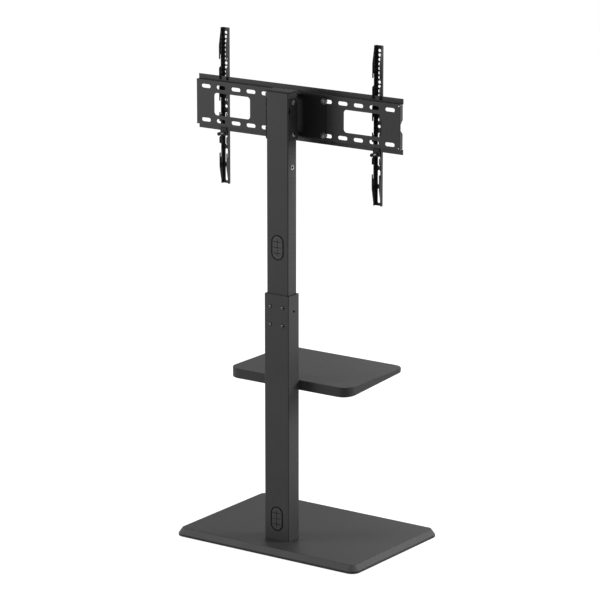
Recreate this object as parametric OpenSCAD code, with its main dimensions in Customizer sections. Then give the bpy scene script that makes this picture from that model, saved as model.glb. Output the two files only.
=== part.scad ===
// Floor stand that carries a flat screen on a swivelling, height-adjustable column.
// Millimetres, +Z up, front (screen side) towards -Y, origin on the floor, halfway along the base in depth
// and in the middle plane of the column.

/* [Base] */
// Width of the base, side to side
base_w = 600; // [450:5:760]
// Depth of the base, front to back
base_d = 416; // [320:2:560]
// Thickness of the base board with its steel cover
base_t = 22; // [18:0.5:34]
// How far the bevel runs in from the edge of the base
base_bevel_run = 11; // [5:0.5:18]
// Height of the upright rim under the bevel
base_rim_h = 6.5; // [4:0.5:12]
// Corner radius of the base
base_corner_r = 25; // [23:1:60]
// Thickness of the steel cover over the base board
base_skin = 1.2; // [0.8:0.1:2]
// Diameter of a floor pad
pad_d = 32; // [20:1:45]
// Thickness of a floor pad
pad_t = 3; // [2:0.5:6]
// Distance from the base edges to the centre of a corner pad
pad_inset = 48; // [36:1:70]
// Distance from the back edge of the base to the column's centre
column_setback = 100; // [80:1:150]
// How far the middle of the base stands from the column's middle, towards -X
base_offset = 7.5; // [0:0.5:20]

/* [Lower tube] */
// Width of the lower tube
lower_w = 80; // [70:1:110]
// Depth of the lower tube
lower_d = 50; // [44:1:80]
// Length of the lower tube
lower_len = 690.5; // [560:0.5:840]
// Wall of both tubes
tube_wall = 1.5; // [1.2:0.1:2.5]
// Outer corner radius of both tubes
tube_r = 3; // [2:0.5:6]

/* [Upper tube] */
// Gap between the two tubes, all round
tube_gap = 3.5; // [3:0.1:6]
// Length of the upper tube
upper_len = 731.5; // [600:0.5:900]
// Length of the upper tube that is inside the lower one at the middle setting
tube_overlap = 180; // [170:1:200]
// Length of the plastic guides in the mouth of the lower tube
guide_len = 90; // [60:5:110]
// Length of the glide collar at the foot of the upper tube
glide_len = 30; // [15:1:45]
// Thickness of the cap on top of the column
cap_t = 4; // [2:0.5:8]
// How far the cap stands out beyond the sides of the tube
cap_side = 3.5; // [0:0.5:5]
// How far the cap stands out beyond the front and back of the tube
cap_back = 1.5; // [0:0.5:3]
// Thread diameter of the height screws
clamp_screw_d = 6; // [4:0.5:7]
// Distance between the two columns of height screws
clamp_gap_x = 41; // [36:1:44]
// Distance between the two rows of height screws
clamp_gap_z = 50; // [30:1:60]
// Distance from the lower tube's mouth to the upper row of height screws
clamp_drop = 34; // [24:1:50]

/* [Cable covers] */
// Width of a cable cover
cover_w = 40; // [34:1:46]
// Height of a cable cover
cover_h = 70; // [56:1:90]
// Width of the rim of a cable cover
cover_rim = 3.5; // [2.5:0.5:6]
// Height of the lower cable cover's centre above the base
lower_cover_up = 60; // [55:1:120]
// Height of the upper cable cover's centre above the lower tube's mouth
upper_cover_up = 129.5; // [110:0.5:200]
// Distance from the upper tube's top to the centre of the side eyelet
eyelet_down = 202; // [180:1:240]
// Diameter of the side eyelet
eyelet_d = 15; // [10:0.5:20]

/* [Shelf] */
// Width of the shelf
shelf_w = 400; // [300:5:480]
// Depth of the shelf
shelf_d = 283; // [200:1:320]
// Height of the shelf's rear skirt
shelf_back_h = 27.5; // [24:0.5:40]
// Height of the shelf's front skirt
shelf_front_h = 9.5; // [6:0.5:20]
// Corner radius of the shelf
shelf_r = 35; // [15:1:50]
// Sheet thickness of the shelf
shelf_sheet = 1.5; // [1:0.1:2.5]
// Distance from the lower tube's mouth down to the top of the shelf
shelf_down = 242.5; // [240:0.5:400]

/* [Wall plate] */
// Length of the wall plate over its lips
plate_len = 666; // [560:2:760]
// Height of the wall plate over its lips
plate_h = 150; // [140:1:180]
// Sheet thickness of the wall plate
plate_t = 2; // [1.5:0.1:3]
// How far the lips stand in front of the plate's face
lip_step = 13; // [11:0.5:18]
// Height of a lip
lip_h = 13; // [10:0.5:18]
// Distance between neighbouring slots
slot_pitch = 50; // [42:1:60]
// Length of a slot
slot_len = 30; // [20:1:34]
// Height of a slot
slot_h = 10.5; // [10:0.5:12]
// Distance from the edge of the plate's face to the middle of a row of slots
slot_edge = 15.5; // [12:0.5:20]
// Width of the metal left between a window and the slots above and below it
window_rib = 10.5; // [6:0.5:16]
// Distance from the swivel plate's edge to a window
window_side = 55.5; // [20:0.5:70]
// Distance from the end of the plate to a window
window_end = 56; // [30:1:80]

/* [Swivel] */
// Diameter of the swivel bolt
pivot_d = 10; // [8:0.5:13]
// Distance from the upper tube's top down to the top of the column bracket
bracket_down = 16; // [14:1:30]
// Steel thickness of the column bracket
bracket_t = 3; // [2.5:0.5:5]
// Thickness of the hinge tabs
tab_t = 4; // [3:0.5:6]
// Radius of a hinge tab round the swivel axis
tab_r = 19; // [16:0.5:24]
// Gap between a hinge tab's round end and the steel that it turns past
tab_clear = 2.2; // [1:0.1:5]
// Thickness of the swivel plate
swivel_t = 3; // [2.5:0.5:5]
// Distance from the outer bolts to the swivel plate's edge
swivel_edge = 7.2; // [5:0.1:15]
// Diameter of the bolts through the wall plate and through the column
bolt_d = 8; // [6:0.5:9.5]

/* [Screen arms] */
// Length of an arm
arm_len = 431; // [428:1:520]
// Width of an arm
arm_w = 24.5; // [20:0.5:30]
// Depth of an arm
arm_d = 18; // [16:0.5:22]
// Sheet thickness of an arm
arm_t = 1.5; // [1.2:0.1:2]
// Distance between the two arms' centres as drawn
arm_gap = 500; // [240:10:600]
// Distance between neighbouring holes in the upper half of an arm
hole_pitch = 12; // [11:0.5:14]
// Diameter of a hole
hole_d = 8.6; // [6.5:0.1:9]
// Length of a slot in the lower half of an arm
arm_slot_len = 39.5; // [34:0.5:41]
// Distance between neighbouring slots of an arm
arm_slot_pitch = 50; // [46:1:51]

/* [Hidden] */

// One overrun serves every cut
over = 1;
// Gaps: between pieces that move past each other, round a pivot, and round a fastener
run_gap = 0.3;
pivot_gap = 0.08;
bolt_gap = 0.4;
$fn = 48;

// Levels of the base and the column
base_z = pad_t;
base_top = base_z + base_t;
column_y = base_d / 2 - column_setback;
lower_top = base_top + lower_len;
lower_back_y = column_y + lower_d / 2;
upper_w = lower_w - 2 * (tube_wall + tube_gap);
upper_d = lower_d - 2 * (tube_wall + tube_gap);
upper_back_y = column_y + upper_d / 2;
upper_front_y = column_y - upper_d / 2;
upper_z = lower_top - tube_overlap;
upper_top = upper_z + upper_len;
clamp_z = lower_top - clamp_drop;
lower_cover_z = base_top + lower_cover_up;
upper_cover_z = lower_top + upper_cover_up;
eyelet_z = upper_top - eyelet_down;
shelf_top = lower_top - shelf_down;
shelf_back_y = column_y - lower_d / 2;

// Steel end plate in the foot of the lower tube, and the bolts that hold it from below
end_plate_t = 6;
foot_bolt_side = 16;
foot_bolt_face = 12;
foot_bolt_x = lower_w / 2 - foot_bolt_side;
foot_bolt_y = lower_d / 2 - foot_bolt_face;
spreader_rim = 22;
spreader_t = 3;
pocket_h = 8;
foot_head_h = 4;
foot_head_d = 14;
foot_socket = 5;

// Guides: two half shells that leave the middle of the tube faces free
guide_clear = 1;
guide_peg_d = 6;
guide_peg_l = 10;
guide_peg_drop = 45;
guide_peg_root = 1;

// Height screws: round heads with a hexagon socket, in nuts riveted into the tube
screw_head_d = 11;
screw_head_h = 3.3;
socket_across = 4;
socket_depth = 2;
nut_collar_d = 8;
nut_boss_d = 10;
guide_free = clamp_gap_x + nut_boss_d + 2 * guide_clear;

// Cable covers
cover_proud = 1.4;
flap_t = 1.2;
flap_recess = 1;
flap_slit = 0.8;
flap_rows = 3;
ring_seat = 0.6;

// Side eyelet
eyelet_rim = 3;
eyelet_wall = 0.8;
eyelet_barrel = 5;
cap_spigot_h = 10;
spigot_wall = 1.5;

// Shelf fixings
stiff_w = 240;
stiff_leg = 90;
stiff_t = 2;
stiff_clear = 4;
shelf_bolt_gap = 50;
shelf_bolt_d = 6;
shelf_bolt_z = shelf_top - shelf_back_h / 2;
shelf_head_d = 12;
shelf_head_h = 4;
insert_d = 9;
insert_len = 10;
rivet_gap = 200;
rivet_d = 5;
rivet_head_t = 1.6;

// Wall plate, from its own middle
web_h = plate_h - 2 * lip_h;
end_inset = 1;
web_len = plate_len - 2 * end_inset;
slot_drop = 1.8;
slot_row_gap = web_h - 2 * slot_edge;
slot_end = 12;
slots_a_side = floor((web_len / 2 - slot_len / 2 - slot_end) / slot_pitch);
bolt_slot = 2;
plate_bolt_x = bolt_slot * slot_pitch - (slot_len - slot_h) / 2;
end_notch_h = 37;
end_notch_floor = 16;
end_notch_depth = 10;
relief_d = 3.5;
relief_in = 4.2;
window_r = 9;

// Column bracket and swivel, in line with the middle of the wall plate
swivel_margin = 5;
bracket_margin = 1;
swivel_w = 2 * (plate_bolt_x + swivel_edge);
swivel_h = web_h - 2 * swivel_margin;
bracket_h = swivel_h - 2 * bracket_margin;
bracket_top = upper_top - bracket_down;
bracket_z = bracket_top - bracket_h;
plate_z = bracket_top - bracket_h / 2;
slots_z = plate_z - slot_drop;
pivot_y = upper_front_y - bracket_t - tab_clear - tab_r;
swivel_back_y = pivot_y - tab_r - tab_clear;
plate_back_y = swivel_back_y - swivel_t;
lip_y = plate_back_y - lip_step;
window_in = swivel_w / 2 + window_side;
window_w = web_len / 2 - window_end - window_in;
window_h = slot_row_gap - slot_h - 2 * window_rib;
ear_back = 0.5;
ear_notch_top = 25;
ear_notch_h = 13;
ear_notch_depth = 4;
high_bolt_in = 10.5;
low_bolt_in = 15.5;
column_bolt_levels = [bracket_top - high_bolt_in, bracket_z + low_bolt_in];
dome_d = 14;
dome_h = 4.5;
nut_across = 13;
nut_h = 6.5;
thin_nut_h = 4.5;
washer_d = 18;
washer_t = 1.4;
pivot_washer_t = 1.2;
pivot_washer_d = 24;
pivot_head_across = 17;
pivot_head_h = 6.4;
pivot_nut_h = 8;
bolt_end = 1;
corner_cut = 4;

// Arms: depths from the front face and heights from the arm's middle
arm_drop = 8;
arm_z = plate_z - arm_drop;
finger_t = 4.4;
lip_seat = finger_t + plate_t + 2 * run_gap;
slit_w = 3.6;
slit_depth = arm_d - finger_t;
narrow_depth = slit_depth - slit_w;
seat_depth = arm_d - lip_seat;
arm_front_y = lip_y - plate_t - run_gap - seat_depth;
end_tab = 7.5;
end_taper = 40;
tip_in = 86;
slit_in = 74.5;
inner_tip = 14.5;
inner_slit = 24;
inner_low_slit = 17;
block_gap = 4;
block_slant = 3;
low_block_h = 20;
lift_room = 15;
hole_first_in = 14;
hole_total = 11;
middle_holes = [16.5, -1.5];
arm_slot_w = 8;
arm_slot_in = 27;
arm_slots = 4;
short_slot = 2;
short_slot_cut = 14;

// Lock under the bottom lip: clip, screw with a long sleeve, and nut welded into the arm
lock_d = 5;
lock_head_d = 10;
lock_head_h = 5;
lock_drop = 6;
lock_z = plate_z - plate_h / 2 - lock_drop;
clip_t = 2.4;
clip_up = 15;
clip_down = 7;
clip_y = lip_y + run_gap;
clip_nose = 6;
lock_nut_across = 8;
lock_nut_h = 5;
lock_tip_y = arm_front_y + arm_t + run_gap;
sleeve_d = 7;
sleeve_len = 17;
sleeve_y = clip_y + clip_t + run_gap;

// Shape helpers

// Flat rounded rectangle, centred
module round_rect(w, d, r) {
    square([w - 2 * r, d], center = true);
    square([w, d - 2 * r], center = true);
    for (x = [-1, 1], y = [-1, 1])
        translate([x * (w / 2 - r), y * (d / 2 - r)])
            circle(r = r);
}

// Flat slot with round ends along its first size, centred
module slot_flat(len, width) {
    square([len - width, width], center = true);
    for (x = [-1, 1])
        translate([x * (len - width) / 2, 0])
            circle(d = width);
}

// Turns a flat shape drawn in X and Z into a plate that runs from y0 towards +Y
module plate_y(y0, thick) {
    translate([0, y0 + thick, 0])
        rotate([90, 0, 0])
            linear_extrude(height = thick)
                children();
}

// Turns a flat shape drawn in Y and Z into a bar that runs from x0 towards +X
module bar_x(x0, len) {
    translate([x0, 0, 0])
        rotate([90, 0, 90])
            linear_extrude(height = len)
                children();
}

// Round bar along Y from y0 towards +Y
module rod_y(x, y0, z, d, len) {
    translate([x, y0 + len, z])
        rotate([90, 0, 0])
            cylinder(d = d, h = len);
}

// Round bar along X from x0 towards +X
module rod_x(x0, y, z, d, len) {
    translate([x0, y, z])
        rotate([0, 90, 0])
            cylinder(d = d, h = len);
}

// Hexagon bar along Z, given its size across the flats
module hex_bar(across, h) {
    cylinder(d = across / cos(30), h = h, $fn = 6);
}

// Domed head along Z: its flat side at zero
module dome_head(d, h) {
    ball_r = (d * d / 4 + h * h) / (2 * h);
    intersection() {
        translate([0, 0, h - ball_r])
            sphere(r = ball_r, $fn = 96);
        cylinder(d = d, h = h);
    }
}

// Washer along Z
module washer(outer, inner, thick) {
    difference() {
        cylinder(d = outer, h = thick);
        translate([0, 0, -over])
            cylinder(d = inner, h = thick + 2 * over);
    }
}

// Solid form of the base, with its bevel and round corners, smaller by inset on every face but the lowest
module base_form(inset) {
    r = base_corner_r - inset;
    run = base_bevel_run;
    w = base_w - 2 * inset;
    d = base_d - 2 * inset;
    top = base_t - inset;
    rim = base_rim_h;
    half_w = w / 2;
    half_d = d / 2;
    translate([-base_offset, 0, base_z]) {
        rotate([90, 0, 0])
            translate([0, 0, -(half_d - r)])
                linear_extrude(height = d - 2 * r)
                    polygon([[-half_w, 0], [half_w, 0], [half_w, rim], [half_w - run, top],
                        [-half_w + run, top], [-half_w, rim]]);
        rotate([90, 0, 90])
            translate([0, 0, -(half_w - r)])
                linear_extrude(height = w - 2 * r)
                    polygon([[-half_d, 0], [half_d, 0], [half_d, rim], [half_d - run, top],
                        [-half_d + run, top], [-half_d, rim]]);
        for (x = [-1, 1], y = [-1, 1])
            translate([x * (half_w - r), y * (half_d - r), 0])
                rotate_extrude()
                    polygon([[0, 0], [r, 0], [r, rim], [r - run, top], [0, top]]);
    }
}

// Holes for the four bolts that hold the column down
module foot_bolt_places() {
    for (x = [-1, 1], y = [-1, 1])
        translate([x * foot_bolt_x, column_y + y * foot_bolt_y, 0])
            children();
}

// Base

module base_cover() {
    color("#3a3a3c")
        difference() {
            base_form(0);
            base_form(base_skin);
            translate([-base_offset, 0, base_z - over])
                linear_extrude(height = 2 * over)
                    round_rect(base_w - 2 * base_skin, base_d - 2 * base_skin, base_corner_r - base_skin);
            foot_bolt_places()
                translate([0, 0, base_z])
                    cylinder(d = bolt_d + 2 * bolt_gap, h = base_t + over);
        }
}

module base_core() {
    color("#6b5a45")
        difference() {
            base_form(base_skin);
            translate([0, column_y, base_z - over])
                linear_extrude(height = pocket_h + over)
                    round_rect(lower_w + 2 * (spreader_rim + run_gap),
                        lower_d + 2 * (spreader_rim + run_gap), tube_r + run_gap);
            foot_bolt_places()
                translate([0, 0, base_z])
                    cylinder(d = bolt_d + 2 * bolt_gap, h = base_t + over);
        }
}

module base_pads() {
    color("#161616")
        for (x = [-1, 1], y = [-1, 0, 1])
            translate([x * (base_w / 2 - pad_inset) - base_offset, y * (base_d / 2 - pad_inset), 0])
                cylinder(d = pad_d, h = pad_t);
}

module spreader_plate() {
    color("#8c8f92")
        difference() {
            translate([0, column_y, base_z + pocket_h - spreader_t])
                linear_extrude(height = spreader_t)
                    round_rect(lower_w + 2 * spreader_rim, lower_d + 2 * spreader_rim, tube_r);
            foot_bolt_places()
                translate([0, 0, base_z])
                    cylinder(d = bolt_d + 2 * bolt_gap, h = base_t);
        }
}

module base_bolts() {
    color("#8c8f92")
        foot_bolt_places() {
            translate([0, 0, base_z + pocket_h - spreader_t - foot_head_h])
                difference() {
                    cylinder(d = foot_head_d, h = foot_head_h);
                    translate([0, 0, -over])
                        hex_bar(foot_socket, socket_depth + over);
                }
            translate([0, 0, base_z + pocket_h - spreader_t])
                cylinder(d = bolt_d, h = base_top + end_plate_t - (base_z + pocket_h - spreader_t));
        }
}

// Lower tube and what it carries

module column_end_plate() {
    color("#3a3a3c")
        difference() {
            translate([0, column_y, base_top])
                linear_extrude(height = end_plate_t)
                    round_rect(lower_w - 2 * tube_wall, lower_d - 2 * tube_wall, tube_r - tube_wall);
            foot_bolt_places()
                translate([0, 0, base_top - over])
                    cylinder(d = bolt_d, h = end_plate_t + 2 * over);
        }
}

// Hollow tube with its foot at z
module tube(w, d, z, len) {
    translate([0, column_y, z])
        linear_extrude(height = len)
            difference() {
                round_rect(w, d, tube_r);
                round_rect(w - 2 * tube_wall, d - 2 * tube_wall, tube_r - tube_wall);
            }
}

// Upright oval of a cable cover in X and Z, smaller by inset all round
module cover_flat(z, inset) {
    translate([0, z])
        rotate(90)
            slot_flat(cover_h - 2 * inset, cover_w - 2 * inset);
}

// Opening in the back wall of a tube for a cable cover
module cover_opening(back_y, z) {
    plate_y(back_y - tube_wall - over, tube_wall + 2 * over)
        cover_flat(z, cover_rim - ring_seat);
}

// Places of the four height screws
module clamp_places() {
    for (x = [-1, 1], row = [0, 1])
        translate([x * clamp_gap_x / 2, 0, clamp_z - row * clamp_gap_z])
            children();
}

// Oblong peg of a guide along X, from x0 towards +X
module guide_peg(x0, len) {
    bar_x(x0, len)
        translate([column_y, lower_top - guide_peg_drop])
            slot_flat(guide_peg_l, guide_peg_d);
}

module lower_tube() {
    color("#3d3d40")
        difference() {
            tube(lower_w, lower_d, base_top, lower_len);
            cover_opening(lower_back_y, lower_cover_z);
            clamp_places()
                rod_y(0, lower_back_y - tube_wall - over, 0, nut_collar_d, tube_wall + 2 * over);
            guide_peg(-lower_w / 2 - over, lower_w + 2 * over);
            for (x = [-1, 1])
                rod_y(x * shelf_bolt_gap / 2, shelf_back_y - over, shelf_bolt_z, insert_d,
                    tube_wall + 2 * over);
        }
}

// Half shell that fills the gap between the tubes on one side
module guide(side) {
    color("#1b1b1c") {
        translate([0, column_y, lower_top - guide_len])
            linear_extrude(height = guide_len)
                intersection() {
                    difference() {
                        round_rect(lower_w - 2 * tube_wall, lower_d - 2 * tube_wall, tube_r - tube_wall);
                        round_rect(upper_w + 2 * run_gap, upper_d + 2 * run_gap, tube_r + run_gap);
                    }
                    translate([side * (guide_free / 2 + lower_w / 2), 0])
                        square([lower_w, lower_d], center = true);
                }
        guide_peg(side > 0 ? lower_w / 2 - tube_wall - guide_peg_root : -lower_w / 2,
            tube_wall + guide_peg_root);
    }
}

module guide_left() {
    guide(1);
}

module guide_right() {
    guide(-1);
}

module height_screws() {
    color("#2a2a2c")
        clamp_places()
            difference() {
                union() {
                    translate([0, lower_back_y, 0])
                        rotate([-90, 0, 0])
                            dome_head(screw_head_d, screw_head_h);
                    rod_y(0, upper_back_y + run_gap, 0, clamp_screw_d, tube_wall + tube_gap - run_gap);
                }
                translate([0, lower_back_y + screw_head_h - socket_depth, 0])
                    rotate([-90, 0, 0])
                        hex_bar(socket_across, socket_depth + over);
            }
}

module height_nuts() {
    color("#8c8f92")
        clamp_places()
            translate([0, lower_back_y, 0])
                rotate([90, 0, 0])
                    difference() {
                        union() {
                            cylinder(d = nut_collar_d, h = tube_wall);
                            translate([0, 0, tube_wall])
                                cylinder(d = nut_boss_d, h = tube_gap - 2 * run_gap);
                        }
                        translate([0, 0, -over])
                            cylinder(d = clamp_screw_d, h = tube_wall + tube_gap + 2 * over);
                    }
}

// Oval cover ring in the back wall of a tube
module cable_ring(back_y, z) {
    color("#202022")
        difference() {
            union() {
                plate_y(back_y, cover_proud)
                    cover_flat(z, 0);
                plate_y(back_y - tube_wall, tube_wall)
                    cover_flat(z, cover_rim - ring_seat);
            }
            plate_y(back_y - tube_wall - over, cover_proud + tube_wall + 2 * over)
                cover_flat(z, cover_rim);
        }
}

// Thin soft insert of a cable cover, cut into flaps
module cable_flaps(back_y, z) {
    flap_y = back_y + cover_proud - flap_recess - flap_t;
    slit_h = cover_h - 2 * cover_rim - cover_w / 2 + cover_rim;
    color("#29292b")
        difference() {
            plate_y(flap_y, flap_t)
                cover_flat(z, cover_rim);
            plate_y(flap_y - over, flap_t + 2 * over)
                translate([0, z]) {
                    square([flap_slit, slit_h], center = true);
                    for (i = [0 : flap_rows - 1])
                        translate([0, (i - (flap_rows - 1) / 2) * slit_h / flap_rows])
                            square([cover_w - 4 * cover_rim, flap_slit], center = true);
                }
        }
}

module lower_cable_ring() {
    cable_ring(lower_back_y, lower_cover_z);
}

module lower_cable_flaps() {
    cable_flaps(lower_back_y, lower_cover_z);
}

// Shelf

// Outer form of the tray: round corners, its underside sloping up to the front
module tray_form() {
    middle_y = shelf_back_y - shelf_d / 2;
    intersection() {
        translate([0, middle_y, shelf_top - shelf_back_h])
            linear_extrude(height = shelf_back_h)
                round_rect(shelf_w, shelf_d, shelf_r);
        bar_x(-shelf_w / 2 - over, shelf_w + 2 * over)
            polygon([[shelf_back_y + over, shelf_top + over],
                [shelf_back_y - shelf_d - over, shelf_top + over],
                [shelf_back_y - shelf_d - over, shelf_top - shelf_front_h],
                [shelf_back_y - shelf_d, shelf_top - shelf_front_h],
                [shelf_back_y, shelf_top - shelf_back_h],
                [shelf_back_y + over, shelf_top - shelf_back_h]]);
    }
}

module shelf_tray() {
    color("#3f3f42")
        difference() {
            tray_form();
            translate([0, shelf_back_y - shelf_d / 2, shelf_top - shelf_back_h - over])
                linear_extrude(height = shelf_back_h - shelf_sheet + over)
                    round_rect(shelf_w - 2 * shelf_sheet, shelf_d - 2 * shelf_sheet,
                        shelf_r - shelf_sheet);
            for (x = [-1, 1])
                rod_y(x * shelf_bolt_gap / 2, shelf_back_y - shelf_sheet - over, shelf_bolt_z,
                    shelf_bolt_d + 2 * bolt_gap, shelf_sheet + 2 * over);
        }
}

module shelf_stiffener() {
    y1 = shelf_back_y - shelf_sheet;
    z1 = shelf_top - shelf_sheet;
    z2 = shelf_top - shelf_back_h + stiff_clear;
    color("#3a3a3c")
        difference() {
            bar_x(-stiff_w / 2, stiff_w)
                polygon([[y1, z1], [y1 - stiff_leg, z1], [y1 - stiff_leg, z1 - stiff_t],
                    [y1 - stiff_t, z1 - stiff_t], [y1 - stiff_t, z2], [y1, z2]]);
            for (x = [-1, 1])
                rod_y(x * shelf_bolt_gap / 2, y1 - stiff_t - over, shelf_bolt_z,
                    shelf_bolt_d + 2 * bolt_gap, stiff_t + 2 * over);
            for (x = [-1, 1])
                translate([x * rivet_gap / 2, y1 - stiff_leg / 2, z1 - stiff_t - over])
                    cylinder(d = rivet_d, h = stiff_t + 2 * over);
        }
}

module shelf_rivets() {
    color("#3a3a3c")
        for (x = [-1, 1])
            translate([x * rivet_gap / 2, shelf_back_y - shelf_sheet - stiff_leg / 2,
                shelf_top - shelf_sheet - stiff_t]) {
                cylinder(d = rivet_d, h = stiff_t);
                rotate([180, 0, 0])
                    dome_head(2 * rivet_d, rivet_head_t);
            }
}

module shelf_bolts() {
    y1 = shelf_back_y - shelf_sheet - stiff_t;
    color("#2a2a2c")
        for (x = [-1, 1])
            translate([x * shelf_bolt_gap / 2, y1, shelf_bolt_z]) {
                rotate([90, 0, 0])
                    dome_head(shelf_head_d, shelf_head_h);
                rotate([-90, 0, 0])
                    cylinder(d = shelf_bolt_d, h = shelf_sheet + stiff_t + insert_len);
            }
}

module shelf_inserts() {
    color("#8c8f92")
        for (x = [-1, 1])
            translate([x * shelf_bolt_gap / 2, shelf_back_y, shelf_bolt_z])
                rotate([-90, 0, 0])
                    washer(insert_d, shelf_bolt_d, insert_len);
}

// Upper tube and what it carries

module upper_tube() {
    color("#3d3d40")
        difference() {
            tube(upper_w, upper_d, upper_z, upper_len);
            cover_opening(upper_back_y, upper_cover_z);
            rod_x(-upper_w / 2 - over, column_y, eyelet_z, eyelet_d - 2 * eyelet_rim,
                tube_wall + 2 * over);
            for (z = column_bolt_levels)
                rod_x(-upper_w / 2 - over, column_y, z, bolt_d + 2 * bolt_gap, upper_w + 2 * over);
        }
}

module tube_glide() {
    color("#1b1b1c")
        translate([0, column_y, upper_z])
            linear_extrude(height = glide_len)
                difference() {
                    round_rect(upper_w + 2 * (tube_gap - run_gap),
                        upper_d + 2 * (tube_gap - run_gap), tube_r);
                    round_rect(upper_w, upper_d, tube_r);
                }
}

module top_cap() {
    plug_w = upper_w - 2 * tube_wall;
    plug_d = upper_d - 2 * tube_wall;
    color("#242426") {
        translate([0, column_y, upper_top])
            linear_extrude(height = cap_t)
                round_rect(upper_w + 2 * cap_side, upper_d + 2 * cap_back, tube_r);
        translate([0, column_y, upper_top - cap_spigot_h])
            linear_extrude(height = cap_spigot_h + cap_t / 2)
                difference() {
                    round_rect(plug_w, plug_d, tube_r - tube_wall);
                    square([plug_w - 2 * spigot_wall, plug_d - 2 * spigot_wall], center = true);
                }
    }
}

module upper_cable_ring() {
    cable_ring(upper_back_y, upper_cover_z);
}

module upper_cable_flaps() {
    cable_flaps(upper_back_y, upper_cover_z);
}

module side_eyelet() {
    barrel_d = eyelet_d - 2 * eyelet_rim;
    color("#b9bcc0")
        translate([-upper_w / 2, column_y, eyelet_z])
            rotate([0, -90, 0]) {
                washer(eyelet_d, barrel_d - 2 * eyelet_wall, eyelet_wall);
                translate([0, 0, -eyelet_barrel])
                    washer(barrel_d, barrel_d - 2 * eyelet_wall, eyelet_barrel + eyelet_wall / 2);
            }
}

// Swivel

// Tab of a hinge: a round end on the swivel axis and straight sides back to y
module hinge_tab(z, y) {
    translate([0, 0, z])
        linear_extrude(height = tab_t) {
            translate([0, pivot_y])
                circle(r = tab_r);
            translate([-tab_r, min(y, pivot_y)])
                square([2 * tab_r, abs(y - pivot_y)]);
        }
}

module pivot_hole(gap) {
    translate([0, pivot_y, bracket_z - over])
        cylinder(d = pivot_d + 2 * gap, h = bracket_h + 2 * over);
}

module column_bracket() {
    front_y = upper_front_y - bracket_t;
    half = upper_w / 2 + bracket_t;
    ear_y = upper_back_y - ear_back;
    color("#303033")
        difference() {
            union() {
                translate([-half, front_y, bracket_z])
                    cube([2 * half, ear_y - front_y, bracket_h]);
                hinge_tab(bracket_z, front_y + bracket_t / 2);
                hinge_tab(bracket_top - tab_t, front_y + bracket_t / 2);
            }
            translate([-upper_w / 2, upper_front_y, bracket_z - over])
                cube([upper_w, upper_d, bracket_h + 2 * over]);
            translate([-half - over, ear_y - ear_notch_depth, bracket_top - ear_notch_top - ear_notch_h])
                cube([2 * (half + over), upper_d, ear_notch_h]);
            pivot_hole(0);
            for (z = column_bolt_levels)
                rod_x(-half - over, column_y, z, bolt_d + 2 * bolt_gap, 2 * (half + over));
        }
}

module column_bolts() {
    half = upper_w / 2 + bracket_t;
    color("#56585b")
        for (z = column_bolt_levels)
            translate([-half, column_y, z])
                rotate([0, 90, 0]) {
                    rotate([180, 0, 0])
                        dome_head(dome_d, dome_h);
                    cylinder(d = bolt_d, h = 2 * half + nut_h + bolt_end);
                }
}

module column_nuts() {
    color("#56585b")
        for (z = column_bolt_levels)
            translate([upper_w / 2 + bracket_t, column_y, z])
                rotate([0, 90, 0])
                    difference() {
                        hex_bar(nut_across, nut_h);
                        translate([0, 0, -over])
                            cylinder(d = bolt_d, h = nut_h + 2 * over);
                    }
}

module swivel_bolt() {
    color("#56585b")
        translate([0, pivot_y, bracket_top]) {
            hex_bar(pivot_head_across, pivot_head_h);
            translate([0, 0, -bracket_h - pivot_nut_h - bolt_end])
                cylinder(d = pivot_d, h = bracket_h + pivot_nut_h + bolt_end);
        }
}

module swivel_nut() {
    color("#56585b")
        translate([0, pivot_y, bracket_z - pivot_nut_h])
            difference() {
                hex_bar(pivot_head_across, pivot_nut_h);
                translate([0, 0, -over])
                    cylinder(d = pivot_d, h = pivot_nut_h + 2 * over);
            }
}

// Swivelling head

// Flat plate in X and Z with cut corners, centred
module cut_plate(w, h, cut) {
    polygon([[-w / 2 + cut, -h / 2], [w / 2 - cut, -h / 2], [w / 2, -h / 2 + cut], [w / 2, h / 2 - cut],
        [w / 2 - cut, h / 2], [-w / 2 + cut, h / 2], [-w / 2, h / 2 - cut], [-w / 2, -h / 2 + cut]]);
}

// Places of the four bolts through the swivel plate and the wall plate
module plate_bolt_places() {
    for (x = [-1, 1], row = [-1, 1])
        translate([x * plate_bolt_x, 0, slots_z + row * slot_row_gap / 2])
            children();
}

module swivel_bracket() {
    low = bracket_z + tab_t + run_gap + pivot_washer_t;
    high = bracket_top - tab_t - run_gap - pivot_washer_t - tab_t;
    color("#2c2c2f")
        difference() {
            union() {
                plate_y(plate_back_y, swivel_t)
                    translate([0, plate_z])
                        cut_plate(swivel_w, swivel_h, corner_cut);
                hinge_tab(low, swivel_back_y - swivel_t / 2);
                hinge_tab(high, swivel_back_y - swivel_t / 2);
            }
            pivot_hole(pivot_gap);
            plate_bolt_places()
                rod_y(0, plate_back_y - over, 0, bolt_d + 2 * bolt_gap, swivel_t + 2 * over);
        }
}

module swivel_washers() {
    low = bracket_z + tab_t + run_gap;
    high = bracket_top - tab_t - run_gap - pivot_washer_t;
    color("#d8d4c8")
        for (z = [low, high])
            translate([0, pivot_y, z])
                washer(pivot_washer_d, pivot_d + 2 * pivot_gap, pivot_washer_t);
}

module plate_bolts() {
    reach = swivel_t + plate_t + thin_nut_h + bolt_end;
    color("#56585b")
        plate_bolt_places()
            translate([0, swivel_back_y + washer_t, 0])
                rotate([90, 0, 0]) {
                    rotate([180, 0, 0])
                        dome_head(dome_d, dome_h);
                    cylinder(d = bolt_d, h = washer_t + reach);
                }
}

module plate_washers() {
    color("#56585b")
        plate_bolt_places()
            translate([0, swivel_back_y + washer_t, 0])
                rotate([90, 0, 0])
                    washer(washer_d, bolt_d + bolt_gap, washer_t);
}

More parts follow.
